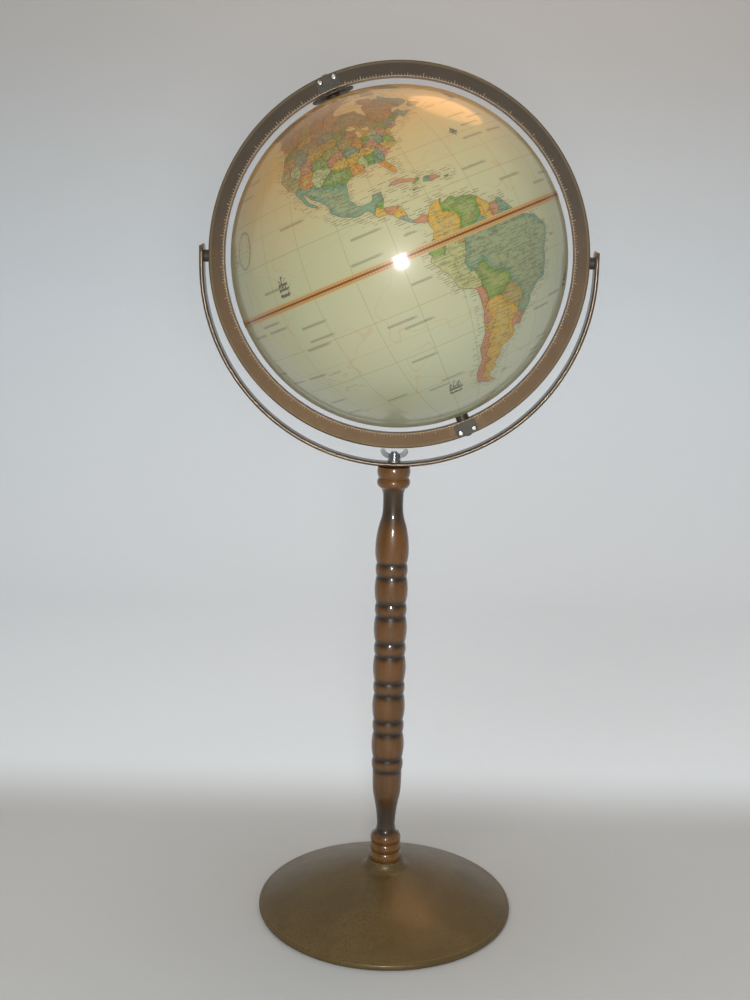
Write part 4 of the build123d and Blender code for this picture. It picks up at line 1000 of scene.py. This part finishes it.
# Rows to a degree, words to a degree, the share of places filled, and a seed.
SHORE_NAMES = (1.35, 0.26, 0.62, 3.0)
LAND_NAMES = (1.15, 0.30, 0.50, 11.0)
SMALL_NAMES = (0.74, 0.20, 0.50, 31.0)
SEA_NAMES = (0.42, 0.075, 0.105, 23.0)


def draw_edges(r, color, coast, border, on_land):
    """Ink where the distance to a border or a shore is under half a line's width."""
    border_line = r.times(r.step(border, 0.42, 0.18), on_land)
    color = r.mix(r.times(border_line, 0.75), color, (0.10, 0.075, 0.04, 1))
    shore_line = r.step(r.absolute(coast), 0.42, 0.16)
    return r.mix(r.times(shore_line, 0.72), color, (0.11, 0.09, 0.055, 1))


def draw_net(r, color, lon, lat):
    """Parallels and meridians; a meridian's width in degrees grows by one over the cosine."""
    parallels = line_every(r, lat, NET_DEGREES, NET_HALF_WIDTH)
    shrink = r.larger(r.math("COSINE", r.math("RADIANS", lat)), 0.1)
    half_width = r.math("DIVIDE", NET_HALF_WIDTH, shrink)
    to_meridian = r.math("PINGPONG", r.plus(lon, 180.0), NET_DEGREES / 2)
    short_of_pole = r.math("LESS_THAN", r.absolute(lat), NET_END_LATITUDE)
    meridians = r.times(r.math("LESS_THAN", to_meridian, half_width), short_of_pole)
    net = r.larger(parallels, meridians)
    color = r.mix(r.times(net, 0.42), color, (0.20, 0.17, 0.07, 1))
    dotted = r.math("GREATER_THAN", r.math("FRACT", r.times(lon, 1.2)), 0.4)
    for circle in CIRCLES:
        near_circle = r.step(r.absolute(r.minus(lat, circle)), 0.16, 0.06)
        color = r.mix(r.times(r.times(near_circle, dotted), 0.4), color, (0.35, 0.10, 0.05, 1))
    return color


def draw_words(r, color, place, coast, lon, lat, open_sea):
    """Rows of marks off every shore and inland, closer set between 20 and 66 degrees north."""
    offshore = r.times(r.step(coast, -0.5, -0.9), r.step(coast, -8.2, -5.5))
    shore_names = r.times(dashes(r, lon, lat, *SHORE_NAMES), offshore)
    inland = r.step(coast, 0.9, 1.6)
    land_names = r.times(dashes(r, lon, lat, *LAND_NAMES), inland)
    small_names = r.times(dashes(r, lon, lat, *SMALL_NAMES), inland)
    land_names = r.larger(land_names, r.times(small_names, 0.8))
    crowded = r.times(r.step(lat, 20.0, 30.0), r.step(lat, 66.0, 58.0))
    dots = r.times(r.step(r.noise(place, 620.0, 2.0, 0.6), 0.50, 0.60), inland)
    land_names = r.larger(land_names, r.times(dots, r.times(crowded, 0.9)))
    sea_names = r.times(dashes(r, lon, lat, *SEA_NAMES), open_sea)
    names = r.larger(r.times(land_names, 0.62), r.times(sea_names, 0.62))
    names = r.larger(r.times(shore_names, 0.85), names)
    return r.mix(names, color, DARK_INK)


print("circles", CIRCLES)

# %% The map's and the board's materials


def make_map_material():
    material, r, shader = new_material("varnished map paper", Coat_Roughness=0.11, IOR=1.46)
    place = r.object_place()
    coast, border = r.value("coast"), r.value("border")
    lon, lat = r.value("longitude"), r.value("latitude")
    slow = r.noise(place, 9.0, 3.0, 0.6)
    sea = sea_color(r, coast, lat, slow)
    land = land_color(r, place, coast, border, lat)
    on_land = r.step(coast, -0.12, 0.12)
    open_sea = r.step(coast, -7.5, -8.8)
    color = r.mix(on_land, sea, land)
    color = draw_edges(r, color, coast, border, on_land)
    color = draw_net(r, color, lon, lat)
    color = draw_words(r, color, place, coast, lon, lat, open_sea)

    drift = r.absolute(r.minus(r.noise(place, 16.0, 2.0, 0.5), 0.52))
    currents = r.times(r.step(drift, 0.006, 0.002), open_sea)
    color = r.mix(r.times(currents, 0.22), color, (0.45, 0.22, 0.06, 1))
    ornaments = r.step(r.value("ink"), 0.34, 0.18)
    color = r.mix(r.times(ornaments, 0.85), color, (0.05, 0.05, 0.04, 1))
    age_spots = r.step(r.noise(place, 240.0, 4.0, 0.7), 0.66, 0.74)
    color = r.mix(r.times(age_spots, 0.18), color, (0.25, 0.14, 0.05, 1))
    r.put(shader.inputs["Base Color"], color)

    paper_grain = r.noise(place, 1600.0, 3.0, 0.6)
    r.put(shader.inputs["Roughness"], r.plus(0.34, r.times(paper_grain, 0.12)))
    r.put(shader.inputs["Coat Weight"], r.plus(0.55, r.times(slow, 0.2)))
    wavy = r.noise(place, 34.0, 2.0, 0.5)
    height = r.plus(r.times(paper_grain, 0.10), wavy)
    r.put(shader.inputs["Normal"], r.bump(height, 0.12, 0.0006))
    return material


def make_board_material():
    material, r, shader = new_material("pressed board")
    grain = r.noise(r.object_place(), 700.0, 4.0, 0.7)
    color = r.mix(grain, (0.24, 0.17, 0.10, 1), (0.40, 0.31, 0.20, 1))
    r.put(shader.inputs["Base Color"], color)
    r.put(shader.inputs["Roughness"], r.plus(0.75, r.times(grain, 0.15)))
    r.put(shader.inputs["Normal"], r.bump(grain, 0.3, 0.0003))
    return material


map_material, board_material = make_map_material(), make_board_material()
for gore in gores:
    gore.data.materials.append(map_material)
    gore.data.materials.append(board_material)
print("map nodes", len(map_material.node_tree.nodes))

# %% [markdown]
# The strip round the equator covers the seam of the two halves. It is printed with a dark line
# in the middle, orange edges and a division at every degree.

# %% The equator strip's finish


def make_equator_material():
    """Longitude is the arctangent of the reach to the east and to the facing side."""
    material, r, shader = new_material("printed equator strip",
                                       Coat_Roughness=0.12, Coat_Weight=0.6)
    local = r.from_point(r.object_place(), ball_centre)
    longitude = r.math("DEGREES", r.math("ARCTAN2", r.along(local, east), r.along(local, facing)))
    from_middle = r.absolute(r.times(r.along(local, north), MM))
    grain = r.noise(r.object_place(), 900.0, 3.0, 0.6)
    color = r.mix(r.step(from_middle, 3.3, 2.5), (0.42, 0.37, 0.18, 1), (0.44, 0.21, 0.055, 1))
    color = r.mix(r.step(from_middle, 2.2, 1.9), color, (0.44, 0.27, 0.09, 1))
    divisions = r.step(r.math("PINGPONG", r.plus(longitude, 180.0), 0.5), 0.14, 0.06)
    divisions = r.times(divisions, r.step(from_middle, 2.3, 2.1))
    color = r.mix(r.times(divisions, 0.55), color, (0.16, 0.06, 0.02, 1))
    color = r.mix(r.step(from_middle, 1.0, 0.7), color, (0.17, 0.050, 0.010, 1))
    color = r.mix(r.times(r.step(grain, 0.55, 0.75), 0.22), color, (0.50, 0.34, 0.16, 1))
    r.put(shader.inputs["Base Color"], color)
    r.put(shader.inputs["Roughness"], r.plus(0.32, r.times(grain, 0.15)))
    r.put(shader.inputs["Normal"], r.bump(grain, 0.1, 0.0002))
    return material


def dress(material, *names):
    """The material takes the place of whatever the frame gave these parts."""
    for name in names:
        part = nodes[name]
        if not part.material_slots:
            part.data.materials.append(material)
        for slot in part.material_slots:
            slot.material = material


dress(make_equator_material(), "equator_tape")
dress(board_material, "joining_hoop", "north_pole_cup", "south_pole_cup")
print("equator strip and inner board dressed")

# %% [markdown]
# The ring, its plates and the base are painted metal: a bronze-brown enamel with darker and
# lighter specks. The ring's front face also carries divisions along its inner edge, cast in and
# rubbed bright.

# %% Painted metal


def painted(name, base, dark, light, size, rough, worn=0.35):
    material, r, shader = new_material(name, Coat_Roughness=0.16, Specular_IOR_Level=0.5)
    place = r.object_place()
    paint = place_group(r, speckle_group, Place=place, Size=size, Base=base, Dark=dark, Light=light)
    wear = place_group(r, wear_group, Place=place, Amount=worn).outputs["Mask"]
    color = r.mix(wear, paint.outputs["Color"], (0.30, 0.23, 0.16, 1))
    smear = r.noise(place, 60.0, 4.0, 0.6)
    r.put(shader.inputs["Base Color"], color)
    r.put(shader.inputs["Roughness"], r.plus(rough, r.times(smear, 0.16)))
    r.put(shader.inputs["Metallic"], r.plus(0.25, r.times(wear, 0.5)))
    r.put(shader.inputs["Coat Weight"], r.times(smear, 0.25))
    r.put(shader.inputs["Normal"], r.bump(paint.outputs["Height"], 0.18, 0.0002))
    return material, r, shader, color


BASE_BRONZE = ((0.125, 0.083, 0.028, 1), (0.07, 0.045, 0.016, 1), (0.19, 0.13, 0.05, 1))
PLATE_GREY = ((0.034, 0.030, 0.020, 1), (0.024, 0.021, 0.014, 1), (0.050, 0.044, 0.030, 1))
CRADLE_BRONZE = ((0.115, 0.078, 0.042, 1), (0.06, 0.038, 0.02, 1), (0.22, 0.16, 0.10, 1))
RING_BRONZE = ((0.150, 0.078, 0.024, 1), (0.080, 0.042, 0.014, 1), (0.24, 0.14, 0.055, 1))
RING_FRONT = -0.0055  # the ring's flat front face lies past this in y from its centre
TICK_START, TICK_END = 0.0006, 0.0022  # up the face from the inner edge
TICK_HALF_DEGREES = 0.13
AXIS_LEAN = 23.5
TICKS = ((1.0, TICK_END), (5.0, TICK_END * 1.4), (10.0, TICK_END * 1.8))


def ring_marks(r, angle, up_face):
    """Ticks at each step of the angle from the pole, and a rule along their feet."""
    marks = 0.0
    for every, reach in TICKS:
        to_tick = r.math("PINGPONG", angle, every / 2)
        across = r.step(to_tick, TICK_HALF_DEGREES, 0.07)
        lengthways = r.times(r.step(up_face, TICK_START, TICK_START + 0.0001),
                             r.step(up_face, reach, reach - 0.0001))
        marks = r.larger(marks, r.times(across, lengthways))
    rule = r.step(r.absolute(r.minus(up_face, TICK_START)), 0.00022, 0.0001)
    return r.larger(marks, rule)


def make_ring_paint(divided):
    """With divided set, ticks each degree, longer each five and ten, in from the inner edge."""
    name = "divided ring" if divided else "ring enamel"
    material, r, shader, color = painted(name, *RING_BRONZE, 1000.0, 0.40)
    place = r.object_place()
    height = r.parts(place)[2]
    # Painted shade and light: the ring is made almost black high up and a warmer red low down, for how
    # the light falls on it.
    painted_shade_by_height = r.step(height, float(ring_centre[2]) + 0.10, float(ring_centre[2]) - 0.15)
    dark = r.mix(0.85, color, (0.016, 0.010, 0.003, 1))
    painted_light_low = r.mix(0.45, color, (0.110, 0.055, 0.010, 1))
    color = r.mix(painted_shade_by_height, dark, painted_light_low)
    if divided:
        parts = r.parts(r.from_point(place, ring_centre))
        angle = r.math("DEGREES", r.math("ARCTAN2", parts[2], parts[0]))
        up_face = r.minus(r.length(parts[0], parts[2]), float(ring_inner))
        marks = ring_marks(r, r.plus(angle, 360.0 - AXIS_LEAN), up_face)
        front = r.math("LESS_THAN", parts[1], RING_FRONT)
        marks = r.times(r.times(marks, front), 0.65)
        color = r.mix(marks, color, (0.42, 0.31, 0.20, 1))
        # Painted highlight: a lighter olive band along the outer edge, where a rounded rim would catch
        # the light.
        painted_edge_highlight = r.step(up_face, RING_FACE - 0.0036, RING_FACE - 0.0014)
        color = r.mix(r.times(painted_edge_highlight, 0.45), color, (0.20, 0.155, 0.080, 1))
        # Painted light: the inner face and the foot of the front face are made pale tan, as if lit from
        # the front.
        painted_lit_inner_face = r.step(up_face, TICK_START, 0.0002)
        color = r.mix(painted_lit_inner_face, color, (0.38, 0.25, 0.14, 1))
    r.put(shader.inputs["Base Color"], color)
    return material


def make_dark_plastic():
    material, r, shader = new_material("dark bush")
    grain = r.noise(r.object_place(), 1200.0, 3.0, 0.6)
    color = r.mix(grain, (0.022, 0.017, 0.013, 1), (0.055, 0.042, 0.032, 1))
    r.put(shader.inputs["Base Color"], color)
    r.put(shader.inputs["Roughness"], r.plus(0.35, r.times(grain, 0.2)))
    r.put(shader.inputs["Normal"], r.bump(grain, 0.15, 0.0002))
    return material


dress(painted("base enamel", *BASE_BRONZE, 1100.0, 0.36)[0], "base_shell")
dress(painted("cradle enamel", *CRADLE_BRONZE, 1100.0, 0.16)[0], "cradle")
dress(make_ring_paint(True), "meridian_ring")
dress(painted("plate enamel", *PLATE_GREY, 900.0, 0.34, worn=0.05)[0],
      "north_pole_plate", "south_pole_plate")
dress(make_ring_paint(False), "left_pivot_screw", "right_pivot_screw")
dress(make_dark_plastic(), "left_pivot_bush", "right_pivot_bush",
      "south_thrust_washer", "north_spacer")
print("paint done")

# %% [markdown]
# Plated and bare metals: bright zinc on the wing nut, duller steel on rivets and pins, brass
# eyelets, black iron for the weight. Fine turned lines and finger marks come from stretched
# noise.

# %% Plated and bare metals


def metal(name, color, tarnish, rough, stretch=(1.0, 1.0, 8.0)):
    material, r, shader = new_material(name)
    place = r.object_place()
    lines = r.noise(r.stretch(place, stretch), 700.0, 3.0, 0.6)
    marks = r.noise(place, 130.0, 4.0, 0.65)
    wear = place_group(r, wear_group, Place=place, Amount=0.8).outputs["Mask"]
    dulled = r.mix(r.step(marks, 0.45, 0.72), color, tarnish)
    r.put(shader.inputs["Base Color"], r.mix(wear, dulled, color))
    r.put(shader.inputs["Metallic"], r.minus(1.0, r.times(r.step(marks, 0.6, 0.8), 0.15)))
    r.put(shader.inputs["Roughness"], r.plus(rough, r.times(marks, 0.22)))
    r.put(shader.inputs["Normal"], r.bump(lines, 0.12, 0.0001))
    return material


dress(metal("bright zinc", (0.56, 0.58, 0.58, 1), (0.36, 0.37, 0.36, 1), 0.05), "wing_nut")
dress(metal("dull zinc", (0.55, 0.54, 0.50, 1), (0.34, 0.32, 0.28, 1), 0.25),
      "lock_washer", "tie_rod", "base_nut", "base_washer")
dress(metal("rivet steel", (0.48, 0.46, 0.42, 1), (0.22, 0.19, 0.15, 1), 0.18),
      "north_pole_rivets", "south_pole_rivets", "north_axis_pin", "south_axis_pin")
dress(metal("brass eyelet", (0.72, 0.50, 0.20, 1), (0.40, 0.27, 0.10, 1), 0.22),
      "north_pole_ferrule", "south_pole_ferrule")


def make_iron():
    material, r, shader = new_material("cast iron", Specular_IOR_Level=0.4)
    place = r.object_place()
    cast = r.noise(place, 350.0, 6.0, 0.7)
    rust = r.step(r.noise(place, 45.0, 5.0, 0.7), 0.55, 0.72)
    black = r.mix(cast, (0.018, 0.018, 0.018, 1), (0.06, 0.058, 0.055, 1))
    r.put(shader.inputs["Base Color"], r.mix(rust, black, (0.13, 0.055, 0.022, 1)))
    r.put(shader.inputs["Roughness"], r.plus(0.55, r.times(cast, 0.3)))
    r.put(shader.inputs["Normal"], r.bump(cast, 0.6, 0.0006))
    return material


dress(make_iron(), "base_weight")
print("metals done")

# %% [markdown]
# The dial at the north pole is a thin bronze-brown disc with divisions for the hours round its
# edge, worked out from the angle about the globe's axis.

# %% The dial's finish


DIAL_BROWN = ((0.075, 0.048, 0.028, 1), (0.02, 0.013, 0.008, 1), (0.08, 0.055, 0.035, 1))
DIAL_EDGE = 0.0188
HOUR, QUARTER = 15.0, 3.75  # in degrees
DIAL_TICKS = ((HOUR, 0.0135, 1.3), (QUARTER, 0.0165, 0.7))  # step, inner end, half width


def make_dial():
    """Ticks between an inner end and the edge, at steps of the angle about the globe's axis."""
    material, r, shader, color = painted("hour dial", *DIAL_BROWN, 1000.0, 0.45)
    local = r.from_point(r.object_place(), ring_centre)
    x, y = r.along(local, east), r.along(local, facing)
    out = r.length(x, y)
    degrees = r.plus(r.math("DEGREES", r.math("ARCTAN2", y, x)), 180.0)
    marks = 0.0
    for every, start, width in DIAL_TICKS:
        across = r.step(r.math("PINGPONG", degrees, every / 2), width, width * 0.5)
        outwards = r.times(r.step(out, start, start + 0.0002),
                           r.step(out, DIAL_EDGE, DIAL_EDGE - 0.0002))
        marks = r.larger(marks, r.times(across, outwards))
    rim = r.step(r.absolute(r.minus(out, DIAL_EDGE)), 0.0003, 0.00015)
    marks = r.times(r.larger(marks, rim), 0.8)
    r.put(shader.inputs["Base Color"], r.mix(marks, color, (0.42, 0.33, 0.2, 1)))
    return material


dress(make_dial(), "hour_dial")
print("dial ticks each", QUARTER, "and", HOUR, "degrees")

# %% [markdown]
# The post is walnut-stained wood turned on a lathe: grain runs along it, it is darker in the grooves,
# its fullest parts are painted bright orange as where light falls, and gloss varnish covers it.

# %% The post's finish
post_low, post_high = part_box("post")
THIN_RADIUS, FULL_RADIUS = 0.0095, 0.0156
GROOVE_RADIUS = 0.0143  # at the grooves between the beads and the barrels
BEADS_ABOVE_FOOT, BEADS_BELOW_TOP = 0.0936, 0.0929


def in_grooves(r, out, height):
    """1 near the grooves' radius, between the lowest bead and the highest one."""
    low = post_low[2] + BEADS_ABOVE_FOOT
    high = post_high[2] - BEADS_BELOW_TOP
    above = r.step(height, low - 0.004, low - 0.001)
    below = r.step(height, high + 0.004, high + 0.001)
    deep = r.step(out, GROOVE_RADIUS + 0.0013, GROOVE_RADIUS + 0.0002)
    return r.times(deep, r.times(above, below))


def make_wood():
    material, r, shader = new_material("walnut stain", Coat_Roughness=0.07, IOR=1.48)
    place = r.object_place()
    grain = r.noise(r.stretch(place, (1.0, 1.0, 0.05)), 420.0, 6.0, 0.62)
    figure = r.noise(r.stretch(place, (1.0, 1.0, 0.12)), 70.0, 3.0, 0.6)
    pores = r.noise(r.stretch(place, (1.0, 1.0, 0.035)), 1500.0, 2.0, 0.5)
    parts = r.parts(place)
    out = r.length(parts[0], parts[1])
    full = r.step(out, THIN_RADIUS, FULL_RADIUS)
    soft = r.plus(0.65, r.times(r.step(figure, 0.30, 0.62), 0.35))
    color = r.mix(r.step(figure, 0.35, 0.65), (0.026, 0.014, 0.005, 1), (0.044, 0.023, 0.006, 1))
    color = r.mix(r.times(r.step(grain, 0.40, 0.66), 0.45), color, (0.026, 0.013, 0.006, 1))
    # Painted light: the fullest parts turn bright orange, where the light falls, and the thin parts
    # stay dark as in shade.
    painted_light_on_full = r.times(full, soft)
    color = r.mix(r.times(painted_light_on_full, 0.68), color, (0.190, 0.074, 0.007, 1))
    groove = in_grooves(r, out, parts[2])
    color = r.mix(r.times(groove, 0.88), color, (0.012, 0.007, 0.003, 1))
    color = r.mix(r.times(r.step(pores, 0.60, 0.70), 0.40), color, (0.015, 0.007, 0.004, 1))
    r.put(shader.inputs["Base Color"], color)
    r.put(shader.inputs["Roughness"], r.plus(0.30, r.times(grain, 0.2)))
    r.put(shader.inputs["Coat Weight"], r.minus(1.0, r.times(pores, 0.25)))
    height = r.plus(r.times(pores, 0.5), grain)
    r.put(shader.inputs["Normal"], r.bump(height, 0.10, 0.0003))
    return material


dress(make_wood(), "post")
print("wood done")

# %% [markdown]
# The studio: a wide pale floor that curves up into a wall, one large soft light high in front,
# a weaker one to the side, one that washes the wall, a small bright one beside the camera for
# the catch light that varnish shows, and an orange lamp behind that warms the top of the ball.

# %% Stage and lights
FLOOR_HALF, FLOOR_FRONT, WALL_TOP = 4.0, -3.5, 3.5
WALL_DISTANCE, BEND = 1.1, 0.6


def make_backdrop():
    """A profile of floor, quarter bend and wall in y and z, carried along x."""
    bend = np.radians(np.linspace(0, 90, 13))
    y = np.concatenate([[FLOOR_FRONT], WALL_DISTANCE + BEND * np.sin(bend), [WALL_DISTANCE + BEND]])
    z = np.concatenate([[0.0], BEND * (1 - np.cos(bend)), [WALL_TOP]])
    x = np.linspace(-FLOOR_HALF, FLOOR_HALF, 3)
    points = np.stack(np.broadcast_arrays(x[None, :], y[:, None], z[:, None]), axis=-1)
    mesh = bpy.data.meshes.new("backdrop")
    index = np.arange(points.size // 3).reshape(points.shape[:2])
    mesh.from_pydata(points.reshape(-1, 3), [], grid_quads(index).tolist())
    mesh.polygons.foreach_set("use_smooth", np.ones(len(mesh.polygons), bool))
    material, r, shader = new_material("pale plaster")
    grain = r.noise(r.object_place(), 30.0, 4.0, 0.6)
    parts = r.parts(r.object_place())
    tone = r.mix(r.step(parts[1], 0.17, 0.36), (0.44, 0.45, 0.445, 1), (0.73, 0.79, 0.83, 1))
    tone = r.mix(r.step(parts[2], 0.45, 1.25), tone, (0.50, 0.49, 0.475, 1))
    tone = r.mix(r.times(grain, 0.1), tone, (0.60, 0.61, 0.60, 1))
    r.put(shader.inputs["Base Color"], tone)
    shader.inputs["Roughness"].default_value = 0.85
    mesh.materials.append(material)
    backdrop = bpy.data.objects.new("backdrop", mesh)
    bpy.context.scene.collection.objects.link(backdrop)


def soft_light(name, place, target, size, power, color=(1, 1, 1)):
    data = bpy.data.lights.new(name, "AREA")
    data.shape, data.size, data.energy, data.color = "DISK", size, power, color
    light = bpy.data.objects.new(name, data)
    light.location = place
    light.rotation_euler = (Vector(target) - Vector(place)).to_track_quat("-Z", "Y").to_euler()
    bpy.context.scene.collection.objects.link(light)
    return light


make_backdrop()
aim = (0.0, 0.0, 0.5)
key = soft_light("key", (-0.9, -2.3, 2.0), aim, 1.6, 26.0, (1.0, 0.98, 0.94))
fill = soft_light("fill", (2.2, -1.6, 1.2), aim, 1.8, 11.0, (0.93, 0.97, 1.0))
soft_light("lamp", (0.50, 1.05, 2.35), tuple(ring_centre), 0.9, 7.0, (1.0, 0.48, 0.16))
wall_wash = soft_light("wall_wash", (0.0, 0.2, 3.2), (0.0, 1.7, 0.9), 1.6, 34.0, (0.96, 0.98, 1.0))
soft_light("catch", (0.03, -1.22, 0.61), tuple(ring_centre), 0.15, 8.0, (1.0, 0.99, 0.96))
for hidden in (key, fill, wall_wash):
    hidden.visible_glossy = False  # they light the paint, and no white disc shows in the varnish


def make_room():
    """Pale behind the object and dim in front of it: brightness grows with the direction's y."""
    world = bpy.data.worlds.new("studio")
    world.use_nodes = True
    tree = world.node_tree
    background = tree.nodes["Background"]
    place = tree.nodes.new("ShaderNodeTexCoord")
    parts = tree.nodes.new("ShaderNodeSeparateXYZ")
    ramp = tree.nodes.new("ShaderNodeMapRange")
    tree.links.new(parts.inputs[0], place.outputs["Generated"])
    tree.links.new(ramp.inputs["Value"], parts.outputs["Y"])
    for socket, number in (("From Min", -0.5), ("From Max", 0.6),
                           ("To Min", 0.14), ("To Max", 0.6)):
        ramp.inputs[socket].default_value = number
    tree.links.new(background.inputs["Strength"], ramp.outputs["Result"])
    background.inputs["Color"].default_value = (0.86, 0.89, 0.92, 1)
    return world


bpy.context.scene.world = make_room()
bpy.context.scene.view_settings.view_transform = "Standard"
